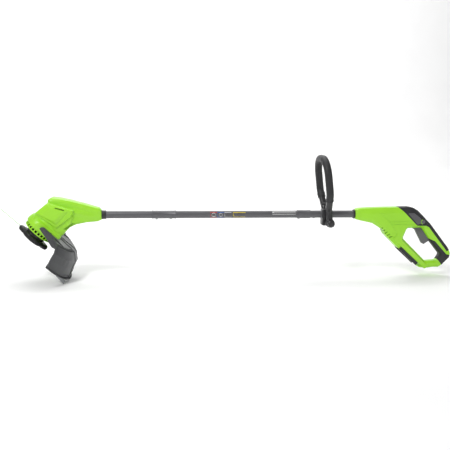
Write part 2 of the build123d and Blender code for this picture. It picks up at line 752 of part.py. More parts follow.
def arm_outline():
    return outline(shifted([(106, -60), (166, -78), (253, -163), (262, -170), (262, -184), (250, -190)]))


def nose_trim(inset=0.0):
    """What is trimmed off both sides, so that the body narrows towards the tube."""
    points = shifted([(-9, mouth_half_width - 1 - inset), (60, body_half_width + 0.1 - inset), (60, 90),
                      (-9, 90)])
    return both_sides(points)


def handle_solid():
    solid = soft_slab(handle_outline(), grip_half_width, grip_edge)
    solid += soft_slab(front_outline(), body_half_width, body_edge)
    solid += soft_slab(arm_outline(), arm_half_width, arm_edge)
    solid += slab(belly_outline(), belly_half_width)
    return solid - nose_trim() - slab(handle_opening(), 60)


def handle_hollow():
    wall = shell_wall
    grip = hollow_slab(handle_outline(), grip_half_width, grip_edge, wall)
    front = hollow_slab(front_outline(), body_half_width, body_edge, wall)
    arm = hollow_slab(arm_outline(), arm_half_width, arm_edge, wall)
    belly = slab(offset(belly_outline(), -wall), belly_half_width - wall)
    hollow = (grip + front + arm + belly) - nose_trim(wall)
    hollow -= slab(offset(handle_opening(), wall), 60)
    for x in (rear_x + rear_socket_depth - 4, rear_x + 16):
        hollow -= block(x - 4, x + 4, -60, 60, -60, 60)
    for x, z, half in rear_screw_places():
        hollow -= rod_y(boss_radius, -half, half, x, z)
    hollow -= pin_bosses()
    hollow += rod_x(tube_r + slip, rear_x - 1, rear_x + rear_socket_depth + 1)
    return hollow + slab(trigger_slot(), trigger_half_width + trigger_clearance)


def rear_screw_places():
    wide, grip, arm = body_half_width, grip_half_width, arm_half_width
    places = [(96, 11, wide), (92, -30, wide), (176, 12, wide), (146, -70, wide), (313, -118, grip),
              (240, -170, arm), (318, -162, grip)]
    return [(rear_x + x, z, half) for x, z, half in places]


def pivot():
    return rear_x + 222.0, -40.0


def trigger_outline():
    return outline(shifted([(203, -48), (216, -54), (243, -103), (250, -106), (273, -91), (240, -36),
                            (222, -33), (210, -38)]), 1.5)


def trigger_slot():
    """Where the trigger passes as it swings, with clearance all round."""
    x, z = pivot()
    swept = trigger_outline()
    for share in (0.33, 0.67, 1.0):
        swept += Pos(x, z) * Rot(0, 0, trigger_swing * share) * Pos(-x, -z) * trigger_outline()
    return offset(swept, trigger_clearance)


def pin_end():
    """The pin's end on the -Y side, short of the outside of the shell."""
    return -body_half_width + shell_wall + 4


def pin_bosses():
    x, z = pivot()
    inner = trigger_half_width + 3.2
    outer = body_half_width
    return (rod_y(5.0, inner, outer, x, z) + rod_y(5.0, -outer, -inner, x, z)) - rod_y(
        pin_radius, -outer, outer, x, z)


def top_region():
    return slab(outline(shifted([(149, 60), (166, 12), (216, -38), (250, -39), (262, -45), (331, -131),
                                 (341, -124), (360, -120), (360, 60)])), 60)


def lower_region():
    return slab(outline(shifted([(262, -84), (286, -94), (330, -141), (346, -144), (360, -150), (360, -190),
                                 (322, -188), (298, -158), (290, -130)])), 60)


def handle_shells():
    walls = handle_solid() - handle_hollow()
    x, z = pivot()
    lock_x, lock_z = lock_place()
    walls -= rod_y(lock_radius + slip, -body_half_width - 5, -6, lock_x, lock_z)
    walls -= rod_y(pin_radius, pin_end(), -pin_end(), x, z)
    screws = []
    for place in rear_screw_places():
        screw, hole = housing_screw(*place)
        screws.append(screw)
        walls -= hole
    for i in range(5):
        vent = Pos(rear_x + 98 + 10.5 * i, 0, -50 - 9.6 * i) * Rot(0, -25, 0) * Box(13, 90, 3.2)
        walls -= vent
    pads = walls & top_region()
    low_pad = (walls & lower_region()) - top_region()
    shells = walls - top_region() - lower_region()
    save("rear_shell_left", shells & half_space(-1))
    save("rear_shell_right", shells & half_space(1))
    save("top_grip_pad", pads)
    save("lower_grip_pad", low_pad)
    save("rear_screws", Compound(children=screws))


def trigger_parts():
    x, z = pivot()
    body = soft_slab(trigger_outline(), trigger_half_width, 1.2)
    body -= rod_y(pin_radius + slip, -40, 40, x, z)
    inner = trigger_half_width + 0.5
    coil = rod_y(4.4, inner, inner + 2.4, x, z) - rod_y(pin_radius, -40, 40, x, z)
    pin = rod_y(pin_radius, pin_end(), -pin_end(), x, z)
    save("trigger", body)
    save("trigger_pin", pin)
    save("trigger_spring", coil)


def lock_place():
    return rear_x + 237.0, -25.0


def lock_off():
    x, z = lock_place()
    outer = -body_half_width - lock_stand
    inner = -trigger_half_width - trigger_clearance - lock_travel - 1.5
    button = rod_y(lock_radius, outer, inner, x, z)
    button = fillet(button.edges().group_by(Axis.Y)[0], 1.2)
    button -= rod_y(lock_radius - 2.5, inner - 6, inner + 1, x, z)
    save("lock_off_button", button)
    spring = rod_y(lock_radius - 3.0, inner - 6 + lock_travel, inner - 1 + lock_travel, x, z)
    spring -= rod_y(lock_radius - 4.0, inner - 10, inner + 10, x, z)
    save("lock_off_spring", spring)


def electrics():
    switch = block(rear_x + 186, rear_x + 212, -8, 8, -18, 6)
    switch += block(rear_x + 212, rear_x + 216, -4, 4, -12, -6)
    board = block(rear_x + 108, rear_x + 160, -18, 18, -26 - board_thickness, -26)
    chips = [(114, 122), (126, 138), (143, 153)]
    for x0, x1 in chips:
        board += block(rear_x + x0, rear_x + x1, -10, 10, -26, -22)
    save("switch_module", switch)
    save("control_board", board)


def arm_plane():
    """Frame of the arm's underside: X along the arm, Z outwards, away from the hand."""
    along = Vector(144, 0, -130).normalized()
    out = Vector(along.Z, 0, -along.X)
    return Plane(origin=(rear_x + 106, 0, -60), x_dir=along, z_dir=out)


def battery_bay():
    arm = arm_plane()
    rails = block(rail_start, rail_end, -rail_half_width, rail_half_width, 0, rail_plate)
    for side in (-1, 1):
        edge, web, lip = rail_half_width, rail_half_width - rail_web, rail_half_width - rail_lip
        rails += block(rail_start, rail_end, min(side * web, side * edge), max(side * web, side * edge), 0,
                       rail_height)
        rails += block(rail_start, rail_end, min(side * lip, side * edge), max(side * lip, side * edge),
                       rail_height - rail_lip_thickness, rail_height)
    for i in range(9):
        start = rail_start + 10 + 8 * i
        rails -= block(start, start + 3, -lip + 3, lip - 3, rail_plate - 1, rail_plate + 1)
    blades = []
    for y in (-12, -4, 4, 12):
        base = block(rail_start + 1, rail_start + 7, y - 2, y + 2, rail_plate, rail_height - 4)
        blade = block(rail_start + 7, rail_start + 20, y - 0.4, y + 0.4, rail_plate + 1, rail_height - 5)
        blades.append(arm.location * (base + blade))
    save("battery_rails", arm.location * rails)
    save("battery_terminals", Compound(children=blades))


def main():
    tubes()
    snap_button()
    shaft_collars()
    power_cable()
    head_shells()
    vent_ring()
    motor()
    rotor_shaft()
    cooling_fan()
    spool_housing()
    spool()
    bump_knob()
    cutting_line()
    guard()
    cutoff_blade()
    loop_handle()
    clamp_block()
    handle_shells()
    trigger_parts()
    lock_off()
    electrics()
    battery_bay()
    boxes = [shape.bounding_box() for name, shape in parts.items() if name != "cutting_line"]
    middle_x = (min(b.min.X for b in boxes) + max(b.max.X for b in boxes)) / 2
    ground = min(b.min.Z for b in boxes)
    for name, shape in parts.items():
        export_step(Pos(-middle_x, 0, -ground) * shape, f"parts/{name}.step")
    print(f"shaft frame origin is at x {-middle_x:.3f}, z {-ground:.3f}")


main()
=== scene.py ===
import json
import logging
import math
from dataclasses import dataclass, field
from enum import Enum
from typing import Callable, Sequence

import bmesh
import bpy
from mathutils import Matrix, Vector


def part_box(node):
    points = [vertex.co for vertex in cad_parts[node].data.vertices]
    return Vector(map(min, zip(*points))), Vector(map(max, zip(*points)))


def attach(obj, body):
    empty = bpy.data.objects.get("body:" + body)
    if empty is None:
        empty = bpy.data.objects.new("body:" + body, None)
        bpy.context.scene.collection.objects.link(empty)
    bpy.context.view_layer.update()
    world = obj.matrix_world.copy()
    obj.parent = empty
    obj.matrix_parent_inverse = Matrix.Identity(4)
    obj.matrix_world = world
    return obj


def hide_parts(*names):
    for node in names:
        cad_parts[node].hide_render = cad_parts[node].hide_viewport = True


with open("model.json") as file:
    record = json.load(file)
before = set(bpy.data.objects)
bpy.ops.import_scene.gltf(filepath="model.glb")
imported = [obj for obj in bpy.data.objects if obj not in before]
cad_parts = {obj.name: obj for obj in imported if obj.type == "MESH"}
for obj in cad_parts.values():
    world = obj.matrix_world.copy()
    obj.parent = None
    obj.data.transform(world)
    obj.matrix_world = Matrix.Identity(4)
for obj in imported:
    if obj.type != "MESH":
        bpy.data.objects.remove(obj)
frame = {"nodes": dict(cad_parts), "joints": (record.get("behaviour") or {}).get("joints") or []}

LOG = logging.getLogger("trimmer")
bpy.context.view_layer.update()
MM = 0.001

Point2 = tuple[float, float]
Point3 = tuple[float, float, float]
Colour = tuple[int, int, int]


# ---- Places ----
def joint(name: str) -> dict:
    """The record's entry for one joint."""
    return next(j for j in frame["joints"] if j["name"] == name)


def shaft_place() -> Matrix:
    """Millimetres along the shaft, measured from the coupling, to the row frame."""
    low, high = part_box("lower_tube")
    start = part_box("upper_tube")[0].x
    origin = Vector(((high.x + start) / 2, 0, (low.z + high.z) / 2))
    return Matrix.Translation(origin) @ Matrix.Scale(MM, 4)


def head_place() -> Matrix:
    """Millimetres in the motor head's own frame, with Z up the rotor's axis, to the row frame."""
    spin = joint("head_spin")
    tilt = math.atan2(spin["axis"][0], spin["axis"][2])
    return Matrix.Translation(Vector(spin["pos_m"])) @ Matrix.Rotation(tilt, 4, "Y") @ Matrix.Scale(MM, 4)


def loop_place(lean: float) -> Matrix:
    """Millimetres in the loop handle's own plane, from its bolt, to the row frame.

    Args:
        lean: how far the loop leans forwards, in degrees.

    Returns:
        The matrix of that place.
    """
    bolt = Vector(joint("handle_tilt")["pos_m"])
    return Matrix.Translation(bolt) @ Matrix.Rotation(-math.radians(lean), 4, "Y") @ Matrix.Scale(MM, 4)


SHAFT = shaft_place()
HEAD = head_place()
HEAD_X = (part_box("head_collar")[0].x - SHAFT.translation.x) / MM
REAR_X = (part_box("rear_collar")[1].x - SHAFT.translation.x) / MM
TUBE_R = (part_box("lower_tube")[1].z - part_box("lower_tube")[0].z) / MM / 2


def shaft_span(node: str) -> tuple[float, float]:
    """Where a CAD node starts and ends along the shaft, in millimetres."""
    low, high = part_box(node)
    return (low.x - SHAFT.translation.x) / MM, (high.x - SHAFT.translation.x) / MM


def slope(start: Point2, end: Point2) -> tuple[float, float]:
    """Length of a line and its angle in degrees."""
    across, up = end[0] - start[0], end[1] - start[1]
    return math.hypot(across, up), math.degrees(math.atan2(up, across))


# ---- Mesh tools, in millimetres ----
def add_object(name: str, mesh: bpy.types.Mesh) -> bpy.types.Object:
    """A new object in the scene that holds this mesh."""
    obj = bpy.data.objects.new(name, mesh)
    bpy.context.scene.collection.objects.link(obj)
    return obj


def from_bmesh(name: str, bm: bmesh.types.BMesh) -> bpy.types.Object:
    """Turns a finished bmesh into an object, with its faces pointing outwards.

    Args:
        name: the object's name.
        bm: the mesh, which is freed.

    Returns:
        The new object.
    """
    bmesh.ops.remove_doubles(bm, verts=bm.verts, dist=1e-5)
    bmesh.ops.recalc_face_normals(bm, faces=bm.faces)
    mesh = bpy.data.meshes.new(name)
    bm.to_mesh(mesh)
    bm.free()
    return add_object(name, mesh)


def drop(*objects: bpy.types.Object) -> None:
    """Removes working objects and their meshes."""
    for obj in objects:
        mesh = obj.data
        bpy.data.objects.remove(obj)
        if mesh and not mesh.users:
            bpy.data.meshes.remove(mesh)


def settle(obj: bpy.types.Object) -> bpy.types.Object:
    """Applies an object's modifiers to its mesh."""
    graph = bpy.context.evaluated_depsgraph_get()
    mesh = bpy.data.meshes.new_from_object(obj.evaluated_get(graph))
    obj.modifiers.clear()
    old = obj.data
    obj.data = mesh
    bpy.data.meshes.remove(old)
    return obj


def corner_round(points: Sequence[Point2], radius: float, steps: int = 4) -> list[Point2]:
    """Rounds every corner of a closed outline.

    Args:
        points: the outline's corners.
        radius: the wanted radius, made smaller where the sides are short.
        steps: how many divisions an arc has.

    Returns:
        The outline with steps + 1 points for each corner.
    """
    result = []
    count = len(points)
    for i in range(count):
        here = Vector(points[i])
        back = Vector(points[i - 1]) - here
        ahead = Vector(points[(i + 1) % count]) - here
        room = min(back.length, ahead.length) * 0.49
        back.normalize()
        ahead.normalize()
        half = back.angle(ahead, math.pi) / 2
        if radius <= 0 or half > math.pi / 2 - 0.01:
            result += [tuple(here + 1e-4 * (k - steps / 2) * ahead) for k in range(steps + 1)]
            continue
        cut = min(radius / math.tan(half), room)
        real = cut * math.tan(half)
        centre = here + (back + ahead).normalized() * (real / math.sin(half))
        first = here + back * cut - centre
        last = here + ahead * cut - centre
        turn = math.atan2(first.x * last.y - first.y * last.x, first.dot(last))
        for k in range(steps + 1):
            angle = turn * k / steps
            c, s = math.cos(angle), math.sin(angle)
            result.append((centre.x + first.x * c - first.y * s, centre.y + first.x * s + first.y * c))
    return result


def inset(points: Sequence[Point2], distance: float) -> list[Point2]:
    """Moves every side of a closed outline inwards and joins them again at mitred corners."""
    area = sum(a[0] * b[1] - b[0] * a[1] for a, b in zip(points, list(points[1:]) + [points[0]]))
    sign = 1 if area > 0 else -1
    result = []
    count = len(points)
    for i in range(count):
        here = Vector(points[i])
        into = (here - Vector(points[i - 1])).normalized()
        away = (Vector(points[(i + 1) % count]) - here).normalized()
        normals = Vector((-into.y, into.x)) * sign, Vector((-away.y, away.x)) * sign
        middle = normals[0] + normals[1]
        scale = max(0.35, middle.dot(middle) / 2)
        result.append(tuple(here + middle * (distance / scale)))
    return result


def loft(name: str, rings: Sequence[Sequence[Point3]], capped: bool = True) -> bpy.types.Object:
    """Skins a row of closed rings that have the same number of points.

    Args:
        name: the object's name.
        rings: the rings, from one end to the other.
        capped: closes both ends with a face; otherwise the last ring joins the first.

    Returns:
        The new object.
    """
    bm = bmesh.new()
    rows = [[bm.verts.new(p) for p in ring] for ring in rings]
    count = len(rows[0])
    last = len(rows) - 1 if capped else len(rows)
    for i in range(last):
        low, high = rows[i], rows[(i + 1) % len(rows)]
        for k in range(count):
            m = (k + 1) % count
            bm.faces.new((low[k], low[m], high[m], high[k]))
    if capped:
        bm.faces.new(rows[0][::-1])
        bm.faces.new(rows[-1])
    return from_bmesh(name, bm)


@dataclass(frozen=True)
class Rim:
    """How the two rims of a moulded slab are broken: its depth, and whether it is round or flat."""
    depth: float
    steps: int = 4

    def layers(self) -> list[Point2]:
        """Inset and setback of each layer, from the side face outwards."""
        turns = [math.pi / 2 * k / self.steps for k in range(self.steps + 1)]
        if self.steps == 1:
            return [(0.0, self.depth), (self.depth, 0.0)]
        return [(self.depth * (1 - math.cos(a)), self.depth * (1 - math.sin(a))) for a in turns]


def slab(name: str, points: Sequence[Point2], half: float, rim: Rim = Rim(0.4, 1), corner: float = 0.0,
         width: Callable[[float, float], float] | None = None) -> bpy.types.Object:
    """A side-view outline thickened along Y, with rounded corners and broken rims.

    Args:
        name: the object's name.
        points: the outline in X and Z.
        half: its half width.
        rim: how its two rims are broken.
        corner: radius of the outline's corners.
        width: optional half width at each X and Z, in place of the single one.

    Returns:
        The new object.
    """
    rings = []
    for depth, back in rim.layers():
        flat = corner_round(inset(points, depth), corner)
        rings.append([(x, (width(x, z) if width else half) - back, z) for x, z in flat])
    far = [[(x, -y, z) for x, y, z in ring] for ring in rings]
    return loft(name, far[::-1] + rings)


def plate(name: str, points: Sequence[Point2], low: float, high: float, rim: Rim = Rim(0.4, 1),
          corner: float = 0.0) -> bpy.types.Object:
    """A plan outline in X and Y, thickened from one height to another, with broken rims."""
    top = [[(x, y, high - back) for x, y in corner_round(inset(points, depth), corner)]
           for depth, back in rim.layers()]
    bottom = [[(x, y, low + high - z) for x, y, z in ring] for ring in top]
    return loft(name, bottom[::-1] + top)


def lathe(name: str, profile: Sequence[Point2], sweep: float = 360.0, start: float = 0.0,
          steps: int = 96) -> bpy.types.Object:
    """Turns a closed section in radius and height about Z.

    Args:
        name: the object's name.
        profile: the section's points.
        sweep: how far it turns, in degrees; a full turn closes on itself.
        start: the first angle, in degrees.
        steps: how many divisions the sweep has.

    Returns:
        The new object.
    """
    whole = sweep >= 359.9
    rings = []
    for i in range(steps if whole else steps + 1):
        angle = math.radians(start + sweep * i / steps)
        c, s = math.cos(angle), math.sin(angle)
        rings.append([(r * c, r * s, z) for r, z in profile])
    return loft(name, rings, capped=not whole)


def turned(name: str, profile: Sequence[Point2], low: float = 0.0, steps: int = 72) -> bpy.types.Object:
    """A body turned about the X axis from a section in position and radius; a zero low radius fills it.

    Args:
        name: the object's name.
        profile: points of position along X and outer radius, from one end to the other.
        low: radius of its bore.
        steps: how many divisions the turn has.

    Returns:
        The new object.
    """
    section = [(radius, x) for x, radius in profile]
    section += [(low, profile[-1][0]), (low, profile[0][0])]
    obj = lathe(name, section, steps=steps)
    obj.data.transform(Matrix.Rotation(math.pi / 2, 4, "Y"))
    return obj


def move(obj: bpy.types.Object, *steps: Matrix) -> bpy.types.Object:
    """Moves an object's mesh by each matrix in turn."""
    for step in steps:
        obj.data.transform(step)
        if step.to_3x3().determinant() < 0:
            obj.data.flip_normals()
    return obj


def shift(x: float, y: float, z: float) -> Matrix:
    """A plain move."""
    return Matrix.Translation((x, y, z))


def turn(angle: float, axis: str) -> Matrix:
    """A turn about one axis, in degrees."""
    return Matrix.Rotation(math.radians(angle), 4, axis)


def rod(name: str, radius: float, length: float, edge: float = 0.3, steps: int = 32) -> bpy.types.Object:
    """A round bar along Z from zero, with its edges broken."""
    section = [(0, 0), (radius - edge, 0), (radius, edge), (radius, length - edge), (radius - edge, length),
               (0, length)]
    return lathe(name, section, steps=steps)


def box(name: str, low: Point3, high: Point3, edge: float = 0.0) -> bpy.types.Object:
    """A block between two corners, with its four long edges along Z broken."""
    points = [(low[0], low[1]), (high[0], low[1]), (high[0], high[1]), (low[0], high[1])]
    return plate(name, points, low[2], high[2], Rim(max(edge, 0.01), 1), edge)


def join(name: str, parts: Sequence[bpy.types.Object]) -> bpy.types.Object:
    """Puts several meshes into one object and removes the originals."""
    bm = bmesh.new()
    for part in parts:
        bm.from_mesh(part.data)
    mesh = bpy.data.meshes.new(name)
    bm.to_mesh(mesh)
    bm.free()
    drop(*parts)
    return add_object(name, mesh)


def fuse(name: str, parts: Sequence[bpy.types.Object], grain: float, rounds: int = 4) -> bpy.types.Object:
    """Melts overlapping bodies into one moulded skin with small soft inner corners.

    Args:
        name: the object's name.
        parts: the closed bodies, which are used up.
        grain: size of the skin's cells.
        rounds: how often it is smoothed.

    Returns:
        The new object.
    """
    obj = join(name, parts)
    skin = obj.modifiers.new("skin", "REMESH")
    skin.mode = "VOXEL"
    skin.voxel_size = grain
    soft = obj.modifiers.new("soft", "SMOOTH")
    soft.factor = 0.5
    soft.iterations = rounds
    return settle(obj)


class Cut(Enum):
    """What a cutter does to a body."""
    AWAY = "DIFFERENCE"
    KEEP = "INTERSECT"
    ADD = "UNION"


def carve(obj: bpy.types.Object, cutters: Sequence[bpy.types.Object],
          how: Cut = Cut.AWAY) -> bpy.types.Object:
    """Cuts a body with others, which are used up.

    Args:
        obj: the body.
        cutters: closed bodies.
        how: takes them away, keeps what is inside them, or adds them.

    Returns:
        The same object.
    """
    for cutter in cutters:
        tool = obj.modifiers.new("cut", "BOOLEAN")
        tool.operation = how.value
        tool.object = cutter
        tool.solver = "MANIFOLD"
        before = len(obj.data.vertices)
        settle(obj)
        if not obj.data.vertices and before:
            raise RuntimeError(f"{obj.name}: the cut left nothing")
    drop(*cutters)
    return obj


def copy(obj: bpy.types.Object, name: str) -> bpy.types.Object:
    """A second object with its own copy of the mesh."""
    return add_object(name, obj.data.copy())


def parting(obj: bpy.types.Object, width: float, depth: float) -> bpy.types.Object:
    """Sinks the fine groove where two mould halves meet, along Y = 0.

    Args:
        obj: the moulded body.
        width: half width of the groove.
        depth: how far its middle is pressed in.

    Returns:
        The same object.
    """
    bm = bmesh.new()
    bm.from_mesh(obj.data)
    for y in (-width, 0.0, width):
        bmesh.ops.bisect_plane(bm, geom=bm.verts[:] + bm.edges[:] + bm.faces[:], dist=1e-4,
                               plane_co=(0, y, 0), plane_no=(0, 1, 0))
    bm.normal_update()
    middle = [v for v in bm.verts if abs(v.co.y) < 1e-4]
    moves = [(v, v.normal.copy()) for v in middle]
    for v, normal in moves:
        v.co -= Vector((normal.x, 0, normal.z)) * depth
    bm.to_mesh(obj.data)
    bm.free()
    return obj


def soften(obj: bpy.types.Object, angle: float = 35.0) -> None:
    """Shades a mesh smoothly, apart from edges that are sharper than this angle, in degrees."""
    bm = bmesh.new()
    bm.from_mesh(obj.data)
    limit = math.radians(angle)
    for face in bm.faces:
        face.smooth = True
    for edge in bm.edges:
        edge.smooth = len(edge.link_faces) == 2 and edge.calc_face_angle(0) < limit
    bm.to_mesh(obj.data)
    bm.free()


# ---- Repeating pieces ----
class Layout(Enum):
    """How a repeated item is laid out."""
    RING = "ring"
    ROW = "row"
    PLACES = "places"


def repeat_tree(layout: Layout) -> bpy.types.GeometryNodeTree:
    """Builds the node tree that repeats an item in a ring, in a row or at given places.

    Args:
        layout: which of the three.

    Returns:
        The tree, made once and then shared.
    """
    name = f"repeat_{layout.value}"
    if name in bpy.data.node_groups:
        return bpy.data.node_groups[name]
    tree = bpy.data.node_groups.new(name, "GeometryNodeTree")
    face = tree.interface
    face.new_socket("Places", in_out="INPUT", socket_type="NodeSocketGeometry")
    wanted = [("Item", "NodeSocketObject"), ("Finish", "NodeSocketMaterial"), ("Count", "NodeSocketInt"),
              ("Radius", "NodeSocketFloat"), ("Start", "NodeSocketFloat"), ("Step", "NodeSocketFloat"),
              ("Play", "NodeSocketFloat"), ("Seed", "NodeSocketInt")]
    for label, kind in wanted:
        face.new_socket(label, in_out="INPUT", socket_type=kind)
    face.new_socket("Mesh", in_out="OUTPUT", socket_type="NodeSocketGeometry")
    nodes, links = tree.nodes, tree.links
    given = nodes.new("NodeGroupInput")
    out = nodes.new("NodeGroupOutput")
    item = nodes.new("GeometryNodeObjectInfo")
    links.new(given.outputs["Item"], item.inputs["Object"])
    spread = nodes.new("GeometryNodeInstanceOnPoints")
    links.new(item.outputs["Geometry"], spread.inputs["Instance"])
    if layout is Layout.PLACES:
        links.new(given.outputs["Places"], spread.inputs["Points"])
    else:
        line = nodes.new("GeometryNodeMeshLine")
        line.inputs["Offset"].default_value = (0, 0, 0)
        links.new(given.outputs["Count"], line.inputs["Count"])
        index = nodes.new("GeometryNodeInputIndex")
        play = nodes.new("FunctionNodeRandomValue")
        play.data_type = "FLOAT"
        low = nodes.new("ShaderNodeMath")
        low.operation = "MULTIPLY"
        low.inputs[1].default_value = -1.0
        links.new(given.outputs["Play"], low.inputs[0])
        play_low = [s for s in play.inputs if s.name == "Min" and s.type == "VALUE"][0]
        play_high = [s for s in play.inputs if s.name == "Max" and s.type == "VALUE"][0]
        links.new(low.outputs[0], play_low)
        links.new(given.outputs["Play"], play_high)
        links.new(given.outputs["Seed"], play.inputs["Seed"])
        offset = [s for s in play.outputs if s.type == "VALUE" and s.enabled][0]
        along = nodes.new("ShaderNodeMath")
        along.operation = "MULTIPLY_ADD"
        links.new(index.outputs[0], along.inputs[0])
        links.new(given.outputs["Step"], along.inputs[1])
        links.new(given.outputs["Start"], along.inputs[2])
        total = nodes.new("ShaderNodeMath")
        total.operation = "ADD"
        links.new(along.outputs[0], total.inputs[0])
        links.new(offset, total.inputs[1])
        place = nodes.new("ShaderNodeCombineXYZ")
        if layout is Layout.RING:
            for axis, operation in (("X", "COSINE"), ("Y", "SINE")):
                wave = nodes.new("ShaderNodeMath")
                wave.operation = operation
                links.new(total.outputs[0], wave.inputs[0])
                reach = nodes.new("ShaderNodeMath")
                reach.operation = "MULTIPLY"
                links.new(wave.outputs[0], reach.inputs[0])
                links.new(given.outputs["Radius"], reach.inputs[1])
                links.new(reach.outputs[0], place.inputs[axis])
            facing = nodes.new("ShaderNodeCombineXYZ")
            links.new(total.outputs[0], facing.inputs["Z"])
            links.new(facing.outputs[0], spread.inputs["Rotation"])
        else:
            links.new(total.outputs[0], place.inputs["X"])
        put = nodes.new("GeometryNodeSetPosition")
        links.new(line.outputs["Mesh"], put.inputs["Geometry"])
        links.new(place.outputs[0], put.inputs["Position"])
        links.new(put.outputs["Geometry"], spread.inputs["Points"])
    real = nodes.new("GeometryNodeRealizeInstances")
    links.new(spread.outputs["Instances"], real.inputs["Geometry"])
    paint = nodes.new("GeometryNodeSetMaterial")
    links.new(real.outputs["Geometry"], paint.inputs["Geometry"])
    links.new(given.outputs["Finish"], paint.inputs["Material"])
    links.new(paint.outputs["Geometry"], out.inputs["Mesh"])
    return tree


@dataclass(frozen=True)
class Repeat:
    """One run of a repeated item: in a ring, start and step are degrees, and in a row, millimetres."""
    layout: Layout
    count: int = 1
    start: float = 0.0
    step: float = 0.0
    radius: float = 0.0
    play: float = 0.0
    seed: int = 7

    def build(self, name: str, item: bpy.types.Object, finish: bpy.types.Material,
              places: Sequence[Point3] = ()) -> bpy.types.Object:
        """Runs the tree and keeps its result as a plain mesh.

        Args:
            name: the new object's name.
            item: what is repeated, which is used up.
            finish: its material.
            places: the points, where the layout is by places.

        Returns:
            The new object.
        """
        mesh = bpy.data.meshes.new(name)
        mesh.from_pydata([tuple(p) for p in places], [], [])
        host = add_object(name, mesh)
        tool = host.modifiers.new("repeat", "NODES")
        tool.node_group = repeat_tree(self.layout)
        unit = math.pi / 180 if self.layout is Layout.RING else 1.0
        values = {"Item": item, "Finish": finish, "Count": self.count, "Radius": float(self.radius),
                  "Start": self.start * unit, "Step": self.step * unit, "Play": self.play * unit,
                  "Seed": self.seed}
        for socket in tool.node_group.interface.items_tree:
            if socket.in_out == "INPUT" and socket.name in values:
                tool[socket.identifier] = values[socket.name]
        bpy.context.view_layer.update()
        settle(host)
        drop(item)
        return host


# ---- Finishes ----
def linear(tone: Colour) -> tuple[float, float, float, float]:
    """A display colour of 0 to 255 as scene-linear values."""
    parts = [c / 255 for c in tone]
    return (*[p / 12.92 if p <= 0.04045 else ((p + 0.055) / 1.055) ** 2.4 for p in parts], 1.0)


class Graph:
    """The nodes of one procedural material."""

    def __init__(self, name: str) -> None:
        """Starts a material with an empty tree, its shader and its object coordinates."""
        self.material = bpy.data.materials.new(name)
        self.material.use_nodes = True
        self.nodes = self.material.node_tree.nodes
        self.links = self.material.node_tree.links
        self.nodes.clear()
        self.shader = self.nodes.new("ShaderNodeBsdfPrincipled")
        out = self.nodes.new("ShaderNodeOutputMaterial")
        self.links.new(self.shader.outputs["BSDF"], out.inputs["Surface"])
        self.place = self.nodes.new("ShaderNodeTexCoord").outputs["Object"]

    def set(self, **values: float | tuple) -> None:
        """Sets values on the shader's own sockets; an underscore stands for a space."""
        for name, value in values.items():
            self.shader.inputs[name.replace("_", " ")].default_value = value

    def stretch(self, x: float, y: float, z: float) -> bpy.types.NodeSocket:
        """Object coordinates scaled on each axis."""
        node = self.nodes.new("ShaderNodeMapping")
        node.inputs["Scale"].default_value = (x, y, z)
        self.links.new(self.place, node.inputs["Vector"])
        return node.outputs["Vector"]

    def noise(self, scale: float, detail: float = 2.0,
              place: bpy.types.NodeSocket | None = None) -> bpy.types.NodeSocket:
        """Smooth noise with this many cells in a metre."""
        node = self.nodes.new("ShaderNodeTexNoise")
        node.inputs["Scale"].default_value = scale
        node.inputs["Detail"].default_value = detail
        self.links.new(place or self.place, node.inputs["Vector"])
        return node.outputs["Fac"]

    def cells(self, scale: float) -> bpy.types.NodeSocket:
        """Distance to the nearest of scattered cell centres."""
        node = self.nodes.new("ShaderNodeTexVoronoi")
        node.inputs["Scale"].default_value = scale
        self.links.new(self.place, node.inputs["Vector"])
        return node.outputs["Distance"]

    def span(self, value: bpy.types.NodeSocket, low: float, high: float, start: float = 0.3,
             end: float = 0.7) -> bpy.types.NodeSocket:
        """Stretches a value from one range to another."""
        node = self.nodes.new("ShaderNodeMapRange")
        for name, number in (("From Min", start), ("From Max", end), ("To Min", low), ("To Max", high)):
            node.inputs[name].default_value = number
        self.links.new(value, node.inputs["Value"])
        return node.outputs["Result"]

    def mix(self, share: bpy.types.NodeSocket, first: Colour, second: Colour) -> bpy.types.NodeSocket:
        """Blends two tones by a share."""
        node = self.nodes.new("ShaderNodeMix")
        node.data_type = "RGBA"
        node.inputs[6].default_value = linear(first)
        node.inputs[7].default_value = linear(second)
        self.links.new(share, node.inputs[0])
        return node.outputs[2]

    def bump(self, height: bpy.types.NodeSocket, depth: float, strength: float = 1.0,
             under: bpy.types.NodeSocket | None = None) -> bpy.types.NodeSocket:
        """Turns a height into a surface direction; depth is in millimetres."""
        node = self.nodes.new("ShaderNodeBump")
        node.inputs["Strength"].default_value = strength
        node.inputs["Distance"].default_value = depth * MM
        self.links.new(height, node.inputs["Height"])
        if under:
            self.links.new(under, node.inputs["Normal"])
        return node.outputs["Normal"]

    def feed(self, name: str, source: bpy.types.NodeSocket) -> None:
        """Links a value to one of the shader's sockets."""
        self.links.new(source, self.shader.inputs[name])


@dataclass(frozen=True)
class Moulded:
    """Injection-moulded plastic with the fine grain of an etched tool."""
    name: str
    tone: Colour
    shade: Colour
    roughness: float
    grain: float = 0.7
    depth: float = 0.03
    coat: float = 0.0

    def material(self) -> bpy.types.Material:
        """Builds the material."""
        graph = Graph(self.name)
        share = graph.span(graph.noise(14.0, 3.0), 0.0, 1.0)
        graph.feed("Base Color", graph.mix(share, self.shade, self.tone))
        rough = graph.noise(60.0, 4.0)
        graph.feed("Roughness", graph.span(rough, self.roughness - 0.05, self.roughness + 0.06))
        fine = graph.bump(graph.noise(1000 / self.grain, 2.0), self.depth, 0.5)
        graph.feed("Normal", graph.bump(graph.noise(25.0, 1.0), 0.25, 0.25, fine))
        graph.set(Coat_Weight=self.coat, Coat_Roughness=0.25, Specular_IOR_Level=0.5)
        return graph.material


